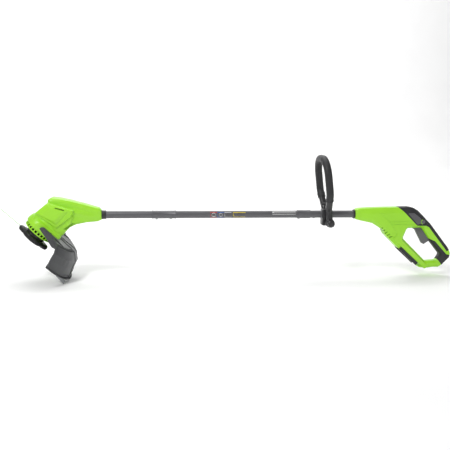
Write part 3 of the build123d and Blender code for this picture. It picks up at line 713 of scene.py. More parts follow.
@dataclass(frozen=True)
class SoftRubber:
    """Overmoulded rubber with a pebbled skin."""
    name: str
    tone: Colour
    shade: Colour
    pebble: float = 1.1

    def material(self) -> bpy.types.Material:
        """Builds the material."""
        graph = Graph(self.name)
        share = graph.span(graph.noise(30.0, 3.0), 0.0, 1.0)
        graph.feed("Base Color", graph.mix(share, self.shade, self.tone))
        graph.feed("Roughness", graph.span(graph.noise(90.0, 3.0), 0.46, 0.62))
        pebbles = graph.bump(graph.cells(1000 / self.pebble), 0.07, 0.55)
        graph.feed("Normal", graph.bump(graph.noise(2600.0, 2.0), 0.02, 0.4, pebbles))
        graph.set(Specular_IOR_Level=0.45)
        return graph.material


@dataclass(frozen=True)
class PowderCoat:
    """Baked powder coat with orange peel and a slight metal flake."""
    name: str
    tone: Colour
    shade: Colour

    def material(self) -> bpy.types.Material:
        """Builds the material."""
        graph = Graph(self.name)
        flake = graph.span(graph.cells(2600.0), 0.0, 1.0, 0.1, 0.6)
        graph.feed("Base Color", graph.mix(flake, self.tone, self.shade))
        graph.feed("Roughness", graph.span(graph.noise(120.0, 3.0), 0.34, 0.46))
        graph.feed("Normal", graph.bump(graph.noise(900.0, 2.0), 0.05, 0.5))
        graph.set(Metallic=0.25, Coat_Weight=0.2, Coat_Roughness=0.3)
        return graph.material


@dataclass(frozen=True)
class Metal:
    """Drawn or turned metal with fine tool marks along one axis."""
    name: str
    tone: Colour
    shade: Colour
    roughness: float
    along: Point3 = (40.0, 1600.0, 1600.0)

    def material(self) -> bpy.types.Material:
        """Builds the material."""
        graph = Graph(self.name)
        marks = graph.noise(1.0, 3.0, graph.stretch(*self.along))
        graph.feed("Base Color", graph.mix(graph.span(marks, 0.0, 1.0), self.shade, self.tone))
        graph.feed("Roughness", graph.span(marks, self.roughness - 0.07, self.roughness + 0.09))
        graph.feed("Normal", graph.bump(marks, 0.01, 0.35))
        graph.set(Metallic=1.0)
        return graph.material


@dataclass(frozen=True)
class Nylon:
    """Drawn nylon line, a little see-through, with a twist of drawing marks."""
    name: str
    tone: Colour
    shade: Colour

    def material(self) -> bpy.types.Material:
        """Builds the material."""
        graph = Graph(self.name)
        marks = graph.noise(1.0, 2.0, graph.stretch(300.0, 2400.0, 2400.0))
        graph.feed("Base Color", graph.mix(graph.span(marks, 0.0, 1.0), self.shade, self.tone))
        graph.feed("Roughness", graph.span(marks, 0.28, 0.42))
        graph.feed("Normal", graph.bump(marks, 0.02, 0.4))
        graph.set(Subsurface_Weight=0.25, Subsurface_Radius=(0.002, 0.002, 0.001), Subsurface_Scale=0.5)
        return graph.material


Finish = Moulded | SoftRubber | PowderCoat | Metal | Nylon

GREEN = Moulded("lime_plastic", (158, 224, 44), (152, 218, 40), 0.36, 0.8, 0.025, 0.15)
GUARD_GREY = Moulded("guard_plastic", (72, 73, 75), (64, 65, 67), 0.40, 0.9, 0.035)
HEAD_BLACK = Moulded("head_black_plastic", (29, 29, 30), (24, 24, 25), 0.42, 0.8, 0.03)
DARK_PLASTIC = Moulded("collar_plastic", (46, 46, 48), (40, 40, 42), 0.40)
HANDLE_BLACK = Moulded("loop_black_plastic", (38, 38, 40), (32, 32, 34), 0.34, 0.8, 0.03, 0.1)
TRIGGER_GREY = Moulded("trigger_plastic", (98, 98, 100), (90, 90, 92), 0.42)
PANEL_GREY = Moulded("grip_side_plastic", (88, 88, 91), (80, 80, 83), 0.42)
INSERT_BLACK = SoftRubber("grip_rubber", (42, 42, 44), (35, 35, 37))
SHAFT_GREY = PowderCoat("shaft_powder_coat", (104, 104, 107), (88, 88, 91))
STEEL = Metal("bright_steel", (196, 198, 200), (168, 170, 173), 0.32)
CUTTER_STEEL = Metal("cutter_steel", (176, 178, 181), (150, 152, 155), 0.38, (1600.0, 60.0, 60.0))
MOTOR_STEEL = Metal("motor_steel", (170, 171, 173), (140, 141, 143), 0.35)
MAGNET_GREY = Moulded("ferrite", (52, 50, 50), (42, 41, 41), 0.7, 0.5, 0.05)
COPPER = Metal("copper", (205, 130, 85), (170, 95, 60), 0.3)
LINE_GREEN = Nylon("nylon_line", (140, 205, 75), (110, 180, 50))
BOARD_GREEN = Moulded("board_lacquer", (24, 92, 52), (16, 72, 40), 0.35, 0.6, 0.05)
CABLE_BLACK = Moulded("cable_jacket", (34, 34, 36), (27, 27, 29), 0.5, 0.5, 0.02)

SLOT_FINISH = {"head_black": HEAD_BLACK, "collar_plastic": DARK_PLASTIC, "steel": STEEL,
               "blade_steel": CUTTER_STEEL, "motor_steel": MOTOR_STEEL, "magnet": MAGNET_GREY,
               "copper": COPPER, "line_nylon": LINE_GREEN, "board_green": BOARD_GREEN,
               "cable_jacket": CABLE_BLACK}

MATERIALS: dict[str, bpy.types.Material] = {}


def made(finish: Finish) -> bpy.types.Material:
    """The material of a finish, built once."""
    if finish.name not in MATERIALS:
        MATERIALS[finish.name] = finish.material()
    return MATERIALS[finish.name]


def dress(obj: bpy.types.Object, place: Matrix, finish: Finish, body: str, slot: str,
          *stands_for: str, angle: float = 35.0) -> bpy.types.Object:
    """Puts a finished piece in place, paints it and ties it to its body.

    Args:
        obj: the piece, in millimetres.
        place: the frame that it was made in.
        finish: its finish.
        body: the body that it moves with.
        slot: the record's material slot; not used.
        stands_for: the CAD nodes that it replaces.
        angle: edges sharper than this stay crisp.

    Returns:
        The same object.
    """
    soften(obj, angle)
    obj.data.transform(place)
    obj.data.materials.clear()
    obj.data.materials.append(made(finish))
    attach(obj, body)
    if stands_for:
        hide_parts(*stands_for)
    LOG.info("%s: %d faces on %s", obj.name, len(obj.data.polygons), body)
    return obj


# ---- Shaft ----
@dataclass
class Shaft:
    """The two tubes, the coupling between them, the collars and the generic label patches."""
    sleeve_length: float = 80.0
    sleeve_radius: float = TUBE_R + 0.95
    stop_from_rear: float = 201.0
    stop_length: float = 45.0
    stop_radius: float = TUBE_R + 1.7
    body: str = "trimmer_body"

    def tubes(self) -> None:
        """The lower and upper tube, with their rolled ends."""
        bore = TUBE_R - 1.5
        for node in ("lower_tube", "upper_tube"):
            x0, x1 = shaft_span(node)
            tube = turned(node + "_skin", [(x0, TUBE_R - 0.5), (x0 + 0.5, TUBE_R), (x1 - 0.5, TUBE_R),
                                           (x1, TUBE_R - 0.5)], bore)
            dress(tube, SHAFT, SHAFT_GREY, self.body, "tube_paint", node)

    def sleeve(self, node: str, start: float, length: float, radius: float, bead: float) -> None:
        """One pressed sleeve with a rolled bead at both ends.

        Args:
            node: the CAD node that it replaces.
            start: where it starts.
            length: how long it is.
            radius: its outer radius.
            bead: how much its rolled ends stand out.
        """
        end = start + length
        profile = [(start, radius - 0.4), (start + 0.6, radius + bead), (start + 3.2, radius + bead),
                   (start + 4.4, radius), (end - 4.4, radius), (end - 3.2, radius + bead),
                   (end - 0.6, radius + bead), (end, radius - 0.4)]
        dress(turned(node + "_skin", profile, TUBE_R + 0.05), SHAFT, SHAFT_GREY, self.body, "tube_paint",
              node, angle=25)

    def collars(self) -> None:
        """The dark rings at the two housings' mouths."""
        for node, flare in (("head_collar", 0.5), ("rear_collar", 0.0)):
            low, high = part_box(node)
            x0, x1 = shaft_span(node)
            radius = (high.z - low.z) / MM / 2
            profile = [(x0, radius - 0.7), (x0 + 0.7, radius + flare), (x1 - 2.0, radius),
                       (x1 - 0.8, radius - 0.2), (x1, radius - 1.0)]
            dress(turned(node + "_skin", profile, TUBE_R + 0.05), SHAFT, DARK_PLASTIC, self.body,
                  "collar_plastic", node)

    def patch(self, name: str, start: float, end: float, low: float, high: float,
              finish: Finish) -> None:
        """One plain label patch wrapped on the tube's near side; low and high are angles.

        Args:
            name: the piece's name.
            start: where it starts along the shaft.
            end: where it ends.
            low: its lower edge, in degrees up from the middle of the near side.
            high: its upper edge.
            finish: its print.
        """
        rings = []
        flat = corner_round([(start, low), (end, low), (end, high), (start, high)], 2.2, 5)
        for radius in (TUBE_R + 0.02, TUBE_R + 0.14):
            rings.append([(x, -radius * math.cos(math.radians(a)), radius * math.sin(math.radians(a)))
                          for x, a in self.wrap(flat)])
        dress(loft(name, rings), SHAFT, finish, self.body, "tube_paint", angle=60)

    @staticmethod
    def wrap(flat: Sequence[Point2]) -> list[Point2]:
        """Adds points along an outline's long sides, so that it follows the tube."""
        result = []
        for i, here in enumerate(flat):
            ahead = flat[(i + 1) % len(flat)]
            parts = max(1, int(abs(ahead[1] - here[1]) / 8))
            result += [(here[0] + (ahead[0] - here[0]) * k / parts,
                        here[1] + (ahead[1] - here[1]) * k / parts) for k in range(parts)]
        return result

    def patches(self) -> None:
        """Plain coloured patches where a real one has its labels."""
        tones = {"white": (226, 226, 224), "red": (205, 44, 40), "blue": (36, 92, 178),
                 "pale": (206, 208, 212), "yellow": (232, 206, 40), "print": (60, 60, 64)}
        ink = {k: Moulded(f"label_{k}", v, tuple(max(0, c - 8) for c in v), 0.35, 0.5, 0.01)
               for k, v in tones.items()}
        base = 206.0
        runs = [("red", -51, -28, -46, 46), ("blue", -28, -4, -46, 46), ("pale", -3, 20, -44, 44),
                ("yellow", 26, 68, -42, 42), ("white", 160, 240, 2, 52)]
        for tone, start, end, low, high in runs:
            self.patch(f"label_{tone}", base + start, base + end, low, high, ink[tone])
        self.disc("label_red_middle", base - 39.5, 7.0, ink["white"])
        self.disc("label_blue_middle", base - 16.0, 6.0, ink["pale"])
        self.disc("label_yellow_middle", base + 47.0, 6.5, ink["print"])
        self.disc("label_pale_middle", base + 8.5, 5.0, ink["print"])

    def disc(self, name: str, x: float, radius: float, finish: Finish) -> None:
        """One plain round spot on a patch."""
        rings = []
        for lift in (TUBE_R + 0.1, TUBE_R + 0.24):
            ring = []
            for k in range(36):
                angle = 2 * math.pi * k / 36
                up = radius * math.sin(angle)
                ring.append((x + radius * math.cos(angle), -math.sqrt(lift * lift - up * up), up))
            rings.append(ring)
        dress(loft(name, rings), SHAFT, finish, self.body, "tube_paint", angle=60)

    def build(self) -> None:
        """Builds the whole shaft."""
        self.tubes()
        self.sleeve("coupling_sleeve", -self.sleeve_length / 2, self.sleeve_length, self.sleeve_radius, 0.5)
        self.sleeve("stop_sleeve", REAR_X - self.stop_from_rear, self.stop_length, self.stop_radius, 0.4)
        self.collars()
        self.patches()


# ---- Motor head ----
@dataclass
class MotorHead:
    """The green motor housing with its raised side panels, ridge, neck and vent ring."""
    skin: float = 1.0
    ring_radius: float = 51.0
    ring_height: float = 13.0
    windows: int = 26
    window_height: float = 7.6
    window_width: float = 7.8
    flank: float = 51.0
    body: str = "trimmer_body"

    def ridge_width(self, x: float, _z: float) -> float:
        """Half width of the ridge, which narrows towards the tube."""
        share = min(1.0, max(0.0, (HEAD_X - x) / 165))
        return 18.5 + 11.5 * share ** 0.8

    def cheek_width(self, x: float, _z: float) -> float:
        """Half width of the neck's flared lower part."""
        share = min(1.0, max(0.0, (HEAD_X - 8 - x) / 140))
        smooth = share * share * (3 - 2 * share)
        return 18.0 + 24.5 * smooth

    def shaft_side_parts(self) -> list[bpy.types.Object]:
        """The ridge, the neck's flare and the mouth, in the shaft's frame."""
        m = HEAD_X
        ridge = slab("ridge", [(m, 16.8), (m - 8, 25), (m - 57, 39), (m - 102, 50.5), (m - 132, 56.5),
                               (m - 158, 59), (m - 171, 53), (m - 174, 36), (m - 160, 6), (m - 100, -12),
                               (m - 30, -12), (m, -14)], 29, Rim(9.5, 2), 3.0, self.ridge_width)
        flare = slab("flare", [(m, 11), (m - 60, 20), (m - 120, 28), (m - 158, 24), (m - 172, -16),
                               (m - 152, -56), (m - 122, -62), (m - 114, -48.5), (m - 100, -37),
                               (m - 81, -29), (m - 51, -24), (m - 12, -21), (m, -16)], 40, Rim(9.0, 4), 5.0,
                     self.cheek_width)
        mouth = turned("mouth", [(m - 30, 15), (m - 14, 16.6), (m - 3, 17.4), (m - 0.6, 16.9), (m, 16.0)])
        return [ridge, flare, mouth]

    def plan(self, radius: float, back: float, side: float) -> list[Point3]:
        """Plan outline of the lower body: round in front, with flat flanks that run to a square heel.

        Args:
            radius: of its round front.
            back: how far the heel reaches.
            side: half width at the heel.

        Returns:
            The outline's points, the same number for each call.
        """
        arc = []
        for step in range(72, 289, 6):
            x, y = radius * math.cos(math.radians(step)), radius * math.sin(math.radians(step))
            arc.append((x, max(-self.flank, min(self.flank, y))))
        heel = [(back - 10, -side), (back - 2, -side + 3), (back, -side + 11), (back, side - 11),
                (back - 2, side - 3), (back - 10, side)]
        return arc + heel

    def head_side_parts(self) -> list[bpy.types.Object]:
        """The lower body and the motor housing with its stepped side panels, in the rotor's frame."""
        levels = [(13.2, 53.6, 60.0, 45.0), (14.2, 55.6, 62.0, 48.0), (16.0, 56.0, 63.4, 49.5),
                  (27.0, 55.6, 65.4, 49.8), (36.0, 53.4, 66.0, 48.6), (41.5, 50.0, 66.0, 47.0),
                  (45.5, 44.0, 65.6, 42.4), (57.0, 41.0, 60.0, 40.6)]
        rings = [[(x, y, a) for x, y in self.plan(r, back, side)] for a, r, back, side in levels]
        lower = loft("lower_body", rings)
        core = slab("core", [(-42, 30), (-44, 48), (-38, 96), (-24, 106), (30, 134), (52, 120), (66, 88),
                             (66, 54), (60, 30)], 40.5, Rim(7, 4), 4.0)
        tiers = [
            self.tier([(-48, 50), (-40, 102), (39, 139), (46, 118), (37, 60), (31, 57.5)], 40.0,
                      [(-46.5, 51.5), (-39, 101), (37, 136.5), (44, 117), (35, 61), (30.5, 59)], 45.6),
            self.tier([(-45.5, 53), (-38, 100), (27.5, 129), (27.5, 65.5)], 45.4,
                      [(-43.5, 54.5), (-36.6, 99), (26, 126), (26, 67.5)], 47.6),
            self.tier([(-43.5, 54.5), (-36.6, 99), (26, 126), (26, 67.5)], 47.4,
                      [(-28, 59), (-24.5, 98), (15.5, 116.5), (15.5, 71)], 51.0)]
        return [lower, core] + tiers

    @staticmethod
    def tier(base: Sequence[Point2], low: float, top: Sequence[Point2], high: float) -> bpy.types.Object:
        """One raised step of the side panels, the same on both flanks.

        Args:
            base: its outline where it starts.
            low: half width there.
            top: its outline at the outside.
            high: half width there.

        Returns:
            The new object.
        """
        rings = [[(x, y, z) for x, z in outline] for outline, y in
                 ((top, -high), (base, -low), (base, low), (top, high))]
        return loft("tier", rings)

    def vent_slots(self) -> list[bpy.types.Object]:
        """Cutters for the slot over the panel and for the louvres in the neck's back."""
        cutters = []
        for side in (-1, 1):
            slot = box("slot", (0, -7, -1.5), (31, 7, 1.7), 1.0)
            cutters.append(move(slot, turn(-26.5, "Y"), shift(-11.5, side * 44.5, 106.0)))
            for i in range(7):
                louvre = box("louvre", (-5.5, -11, -1.0), (5.5, 11, 1.0), 0.6)
                cutters.append(move(louvre, turn(-28, "Y"), shift(58 + 1.3 * i, side * 38.0, 74 + 5.0 * i)))
        return cutters

    def hollow(self) -> list[bpy.types.Object]:
        """The throat over the rotor, the motor's room and the tube's socket, as cutters."""
        throat = rod("throat", 46.0, 21.0, 0.5, 96)
        move(throat, shift(0, 0, 10.0))
        room = rod("room", 33.0, 68.0, 1.0, 64)
        move(room, shift(0, 0, 30.0))
        return [throat, room]

    def shell(self) -> None:
        """The green housing as one moulded skin with its parting line, and black blocks behind its vents as
        painted shade.
        """
        to_head = HEAD.inverted() @ SHAFT
        parts = [move(p, to_head) for p in self.shaft_side_parts()] + self.head_side_parts()
        shell = fuse("motor_housing", parts, self.skin, 2)
        socket = rod("socket", TUBE_R + 0.05, 70.0, 0.2, 72)
        move(socket, turn(90, "Y"), shift(HEAD_X - 66, 0, 0), to_head)
        carve(shell, self.hollow() + [socket] + self.vent_slots() + self.screw_wells())
        parting(shell, 0.7, 0.8)
        dress(shell, HEAD, GREEN, self.body, "green_plastic", "head_shell_left", "head_shell_right", angle=28)
        # Black blocks behind the vent slot and the louvres: painted shade for the dark inside seen through
        # them.
        painted_shade = [move(box("slot_backing", (0.5, -38.5, -3), (29, 38.5, 3)), turn(-26.5, "Y"),
                        shift(-11.5, 0, 106.0)),
                   box("louvre_backing", (50, -28.5, 66), (62, 28.5, 106), 1.0)]
        dress(join("vent_backing", painted_shade), HEAD, HEAD_BLACK, self.body, "head_black")

    def screw_places(self) -> list[Point3]:
        """Seats of the housing screws on the far side, in the rotor's frame."""
        low = HEAD.inverted() @ SHAFT @ Vector((HEAD_X - 40, 0, 22.5))
        return [(-38, 41.5, 58), (40, 42, 102), (53, 42, 40), (low.x, 18.5, low.z)]

    def screw_wells(self) -> list[bpy.types.Object]:
        """Round wells that the screws sit in."""
        wells = []
        for x, y, z in self.screw_places():
            well = rod("well", 4.0, 20.0, 0.3)
            wells.append(move(well, turn(-90, "X"), shift(x, y - 0.5, z)))
        return wells

    def screws(self) -> None:
        """The housing screws, repeated at their seats."""
        item = screw_head("screw_item", 3.4)
        move(item, turn(-90, "X"))
        run = Repeat(Layout.PLACES).build("housing_screws", item, made(STEEL), self.screw_places())
        dress(run, HEAD, STEEL, self.body, "steel", "head_screws")

    def ring(self) -> None:
        """The vent ring: two bands with posts between its windows."""
        r, top = self.ring_radius, self.ring_height
        gap = self.window_height / 2
        middle = top / 2 + 0.9
        lower = lathe("ring_low", corner_round([(r - 3, 0), (r - 0.4, 0), (r, 1.0), (r, middle - gap),
                                                (r - 3, middle - gap)], 0.5, 3), steps=156)
        upper = lathe("ring_high", corner_round([(r - 3, middle + gap), (r, middle + gap), (r + 1.4, top),
                                                 (r - 3, top)], 0.5, 3), steps=156)
        floor = lathe("ring_floor", [(37, 0), (r - 2.6, 0), (r - 2.6, 1.2), (37, 1.2)], steps=96)
        step = 360 / self.windows
        post_width = 2 * math.pi * r / self.windows - self.window_width
        post = box("post_item", (-3.0, -post_width / 2, middle - gap - 0.4),
                   (0.0, post_width / 2, middle + gap + 0.4), 0.5)
        posts = Repeat(Layout.RING, self.windows, 0.5 * step, step, r).build("posts", post, made(GREEN))
        ring = join("vent_ring_skin", [lower, upper, floor, posts])
        dress(ring, HEAD, GREEN, self.body, "green_plastic", "vent_ring")

    def build(self) -> None:
        """Builds the whole head."""
        self.shell()
        self.screws()
        self.ring()


def screw_head(name: str, radius: float) -> bpy.types.Object:
    """A pan head with a six-lobed socket, seated at Z = 0 and pointing up.

    Args:
        name: the object's name.
        radius: of the head.

    Returns:
        The new object.
    """
    outer = [(radius, 0.0), (radius, 0.8), (radius - 0.5, 1.6), (radius - 1.3, 2.1)]
    rings = [[(r * math.cos(a), r * math.sin(a), z) for a in [2 * math.pi * k / 36 for k in range(36)]]
             for r, z in outer]
    for z in (2.1, 0.9):
        ring = []
        for k in range(36):
            a = 2 * math.pi * k / 36
            r = (radius - 1.9) * (1 + 0.16 * math.cos(6 * a))
            ring.append((r * math.cos(a), r * math.sin(a), z))
        rings.append(ring)
    return loft(name, rings)


# ---- Guard ----
@dataclass
class Guard:
    """The debris guard: clip arms round the vent ring, top plate, skirt, ribbed rim and cutter boss."""
    half_angle: float = 57.5
    corner_lift: float = 0.2
    thickness: float = 3.0
    skirt_radius: float = 174.5
    rim_height: float = -47.5
    flange: float = 6.5
    cutter_angle: float = 22.0
    shoulder_radius: float = 127.0
    skirt_top: float = 10.0
    arm_lean: float = 11.0
    arm_reach: float = 60.5
    body: str = "trimmer_body"

    def outer(self) -> list[Point2]:
        """Outside of the section, from the clip out and down to the rim, with the step on its slope."""
        return [(57, 35.5), (119, 35), (129, 34), (138, 30.5), (153, 15.5), (156.4, 13.0), (157.4, 9.5),
                (163.6, -13), (170.6, -29), (self.skirt_radius, self.rim_height)]

    def section(self, proud: float = 0.0) -> list[Point2]:
        """Closed section of the guard's wall.

        Args:
            proud: how much fatter than the wall it is, for lips and ribs.

        Returns:
            Points in radius and height.
        """
        outer = self.outer()
        wall = self.thickness
        inner = [(self.skirt_radius - wall, self.rim_height), (167.5, -28.4), (160.5, -12.2), (154.2, 9.5),
                 (152.2, 12.5), (136, 28.2), (128, 31), (119, 32), (57, 32.5)]
        closed = outer + inner
        return inset(closed, -proud) if proud else closed

    def arm(self, side: int) -> list[bpy.types.Object]:
        """One straight clip arm: a broad flat bar, a raised strip along its top and the pad at its end.

        Args:
            side: -1 for the near side, 1 for the far one.

        Returns:
            Its pieces.
        """
        face = [(-3.5, 25.6), (-2.5, 32.5), (1.0, 36.8), (5.0, 37.4), (64, 35.2), (100, 35.2), (100, 24),
                (84, 12.0), (66, 8.0), (34, 17.0)]
        strip = [(0.5, 33.2), (1.5, 36.6), (5.0, 38.2), (64, 38.4), (92, 36.6), (92, 33.2), (60, 33.4),
                 (8, 33.0)]
        bar = slab("arm_bar", face, 3.6, Rim(1.0, 2))
        top = slab("arm_strip", strip, 4.6, Rim(0.8, 2))
        pad = slab("arm_pad", [(-3.6, 25.6), (-2.4, 32.6), (1.0, 36.6), (10, 36.6), (13, 22.6)], 4.8,
                   Rim(1.2, 2))
        return [move(piece, turn(side * self.arm_lean, "Z"), shift(0, side * self.arm_reach, 0))
                for piece in (bar, top, pad)]

    def ribs(self) -> list[bpy.types.Object]:
        """Fine ribs along the arms, the shoulder and the rim's flange, and webs under the top plate."""
        paint = made(GUARD_GREY)
        fine = box("arm_rib", (-0.5, -5.2, -2.2), (0.5, 5.2, 2.2), 0.3)
        runs = []
        for side in (-1, 1):
            run = Repeat(Layout.ROW, 26, 0.0, 2.6).build("arm_ribs", copy(fine, "rib_copy"), paint)
            runs.append(move(run, shift(8.0, 0, 36.6), turn(side * self.arm_lean, "Z"),
                             shift(0, side * self.arm_reach, 0)))
        drop(fine)
        shoulder = Repeat(Layout.RING, 24, -55.5, 1.9, self.shoulder_radius).build(
            "shoulder_ribs", move(box("shoulder_rib", (-6, -0.7, 0), (6, 0.7, 2.2), 0.4), shift(0, 0, 33.6)),
            paint)
        flange = Repeat(Layout.RING, 46, -56.2, 2.497, self.skirt_radius + 2.8).build(
            "flange_ribs", move(box("flange_rib", (-3.2, -0.8, 0), (3.6, 0.8, 2.6), 0.5),
                                shift(0, 0, self.rim_height + 2.0)), paint)
        web = slab("web", [(-26, -16), (4, -16), (22, -1), (42, -1), (42, 0.8), (-26, 0.8)], 1.4)
        webs = Repeat(Layout.RING, 4, -45.0, 30.0, 88.0).build("webs", move(web, shift(0, 0, 32.0)), paint)
        return runs + [shoulder, flange, webs]

    def boss(self) -> bpy.types.Object:
        """Block inside the skirt that the cutter is screwed to."""
        r, rim = self.skirt_radius, self.rim_height
        block = slab("cutter_boss", [(r - 24, -16), (r - 12, -16), (r - 5.4, -28), (r - 1.8, rim),
                                     (r - 24, rim)], 4.0, Rim(0.5, 1))
        return move(block, shift(0, 4.05, 0), turn(-self.cutter_angle, "Z"))

    def build(self) -> None:
        """Builds the guard as one piece."""
        wide = self.half_angle
        wall = corner_round(self.section(), 1.0, 3)
        parts = [lathe("fan", wall, 2 * wide, -wide, 84)]
        lip = corner_round(self.section(1.6), 1.0, 2)
        parts += [lathe("lip", lip, 1.5, start, 2) for start in (-wide - 0.6, wide - 0.9)]
        spine = corner_round(self.section(1.5), 1.2, 2)
        parts += [lathe("spine", spine, 5.0, start, 5) for start in (-11.0, 6.0)]
        r, rim = self.skirt_radius, self.rim_height
        edge = corner_round([(r - 3, rim), (r + self.flange, rim), (r + self.flange, rim + 2.6),
                             (r - 3, rim + 2.6)], 0.8, 3)
        parts.append(lathe("flange", edge, 2 * wide, -wide, 84))
        for side in (-1, 1):
            parts += self.arm(side)
        clip = corner_round([(57, 17), (67, 17), (70, 33), (57, 33)], 0.8, 2)
        parts.append(lathe("clip", clip, 100, -50, 60))
        guard = join("debris_guard", parts + self.ribs() + [self.boss()])
        for vertex in guard.data.vertices:
            x, y, z = vertex.co
            if z < self.skirt_top and math.hypot(x, y) > self.shoulder_radius + 3:
                share = math.degrees(math.atan2(y, x)) / wide
                lift = self.corner_lift * share * share
                vertex.co.z = self.skirt_top + (z - self.skirt_top) * (1 - lift)
        dress(guard, HEAD, GUARD_GREY, self.body, "guard_plastic", "guard", angle=32)


# ---- Line head ----
@dataclass
class LineHead:
    """The spinning spool case with its lobes, cap, bump knob, eyelet and cutting line."""
    case_radius: float = 40.0
    hub_radius: float = 32.0
    case_top: float = -14.0
    case_bottom: float = -27.5
    reach: float = 57.0
    line_height: float = -20.5
    line_reach: float = 139.0
    line_diameter: float = 1.65
    body: str = "line_head"

    def case(self) -> None:
        """The lobed case and its hub, hollow underneath for the spool."""
        low, high = self.case_bottom, self.case_top
        lobes = [(-self.reach, -7), (-47, -14), (-16, -38.5), (16, -38.5), (47, -14), (self.reach, -7),
                 (self.reach, 7), (47, 14), (16, 38.5), (-16, 38.5), (-47, 14), (-self.reach, 7)]
        wings = plate("wings", lobes, low - 4.2, high - 0.6, Rim(7.6, 6), 6.0)
        drum = lathe("drum", [(0, low), (39.4, low), (40.4, low + 1), (40.4, high - 3), (37.5, high),
                              (0, high)])
        hub = lathe("hub", [(0, high - 1), (self.hub_radius, high - 1), (self.hub_radius, -3.2),
                            (self.hub_radius - 1.4, -2.0), (0, -2.0)])
        case = fuse("spool_case", [wings, drum, hub], 0.85, 3)
        room = rod("room", 37.0, 16.0, 0.2, 96)
        move(room, shift(0, 0, high - 3 - 16.0))
        under = rod("under", 41.0, 12.0, 0.2, 96)
        move(under, shift(0, 0, low - 12.0))
        bore = rod("bore", 4.05, 60.0, 0.2, 32)
        eye = rod("eye", 3.6, 30.0, 0.2, 32)
        upper = lathe("upper_room", [(12, high + 2), (self.hub_radius - 3, high + 2),
                                     (self.hub_radius - 3, -5.0), (12, -5.0)])
        carve(case, [room, under, upper, move(bore, shift(0, 0, -50)),
                     move(eye, turn(-90, "Y"), shift(-32, 0, self.line_height))])
        ribs = Repeat(Layout.RING, 20, 0.0, 18.0, self.hub_radius).build(
            "hub_ribs", move(box("hub_rib", (-0.8, -1.0, -12.0), (0.9, 1.0, -4.0), 0.6)), made(HEAD_BLACK))
        teeth = Repeat(Layout.RING, 14, 62.0, 4.3, self.case_radius).build(
            "teeth", box("tooth", (-1.0, -0.8, -25.0), (1.2, 0.8, -18.0), 0.5), made(HEAD_BLACK))
        other = move(copy(teeth, "other_teeth"), turn(180, "Z"))
        whole = join("spool_case_skin", [case, ribs, teeth, other])
        dress(whole, HEAD, HEAD_BLACK, self.body, "head_black", "spool_housing", angle=30)

    def cap(self) -> None:
        """The snap-on cap, with finger ribs round its rim."""
        low, high = self.case_bottom - 3.0, self.case_bottom
        section = corner_round([(18.05, low), (self.case_radius - 2.2, low), (self.case_radius, low + 1.8),
                                (self.case_radius, high), (18.05, high)], 0.5, 3)
        ring = lathe("cap_ring", section)
        ribs = Repeat(Layout.RING, 30, 0.0, 12.0, 30.0).build(
            "cap_ribs", box("cap_rib", (-6.5, -0.7, low - 0.7), (6.5, 0.7, low + 0.5), 0.3), made(HEAD_BLACK))
        dress(join("spool_cap_skin", [ring, ribs]), HEAD, HEAD_BLACK, self.body, "head_black", "spool_cap")

    def knob(self) -> None:
        """The bump knob, a cup with a worn, slightly dished face."""
        low = self.case_bottom - 3.0 - 3.8
        section = [(0, low + 0.7), (7, low + 0.35), (12, low), (15.6, low + 0.1), (17.2, low + 0.9),
                   (18.0, low + 2.6), (18.0, self.case_bottom + 0.1), (20.5, self.case_bottom + 0.1),
                   (20.5, self.case_bottom + 0.7), (15, self.case_bottom + 0.7), (15, low + 2.5),
                   (0, low + 2.5)]
        dress(lathe("bump_knob_skin", section), HEAD, HEAD_BLACK, "bump_knob", "head_black", "bump_knob")

    def eyelet(self) -> None:
        """The steel eyelet that the line leaves through."""
        bore = self.line_diameter / 2 + 0.4
        mouth = -self.reach - 1.4
        ring = turned("line_eyelet_skin", [(mouth, 3.6), (mouth + 0.4, 4.6), (mouth + 1.2, 4.8),
                                           (mouth + 1.6, 3.5), (-self.reach + 12, 3.5)], bore, 48)
        dress(move(ring, shift(0, 0, self.line_height)), HEAD, STEEL, self.body, "steel", "line_eyelet")

    def line(self) -> None:
        """The cutting line, held straight by its own stiffness."""
        reach = (-self.reach - 0.6, -76.0, -106.0, -self.line_reach)
        curve = bpy.data.curves.new("cutting_line_curve", "CURVE")
        curve.dimensions = "3D"
        spline = curve.splines.new("NURBS")
        spline.points.add(len(reach) - 1)
        for point, x in zip(spline.points, reach):
            point.co = (*(HEAD @ Vector((x, 0, self.line_height))), 1.0)
        spline.order_u = 3
        spline.use_endpoint_u = True
        curve.bevel_depth = self.line_diameter / 2 * MM
        curve.bevel_resolution = 5
        curve.resolution_u = 8
        curve.use_fill_caps = True
        obj = bpy.data.objects.new("cutting_line_cord", curve)
        bpy.context.scene.collection.objects.link(obj)
        curve.materials.append(made(LINE_GREEN))
        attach(obj, self.body)
        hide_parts("cutting_line")

    def build(self) -> None:
        """Builds the whole line head."""
        self.case()
        self.cap()
        self.knob()
        self.eyelet()
        self.line()


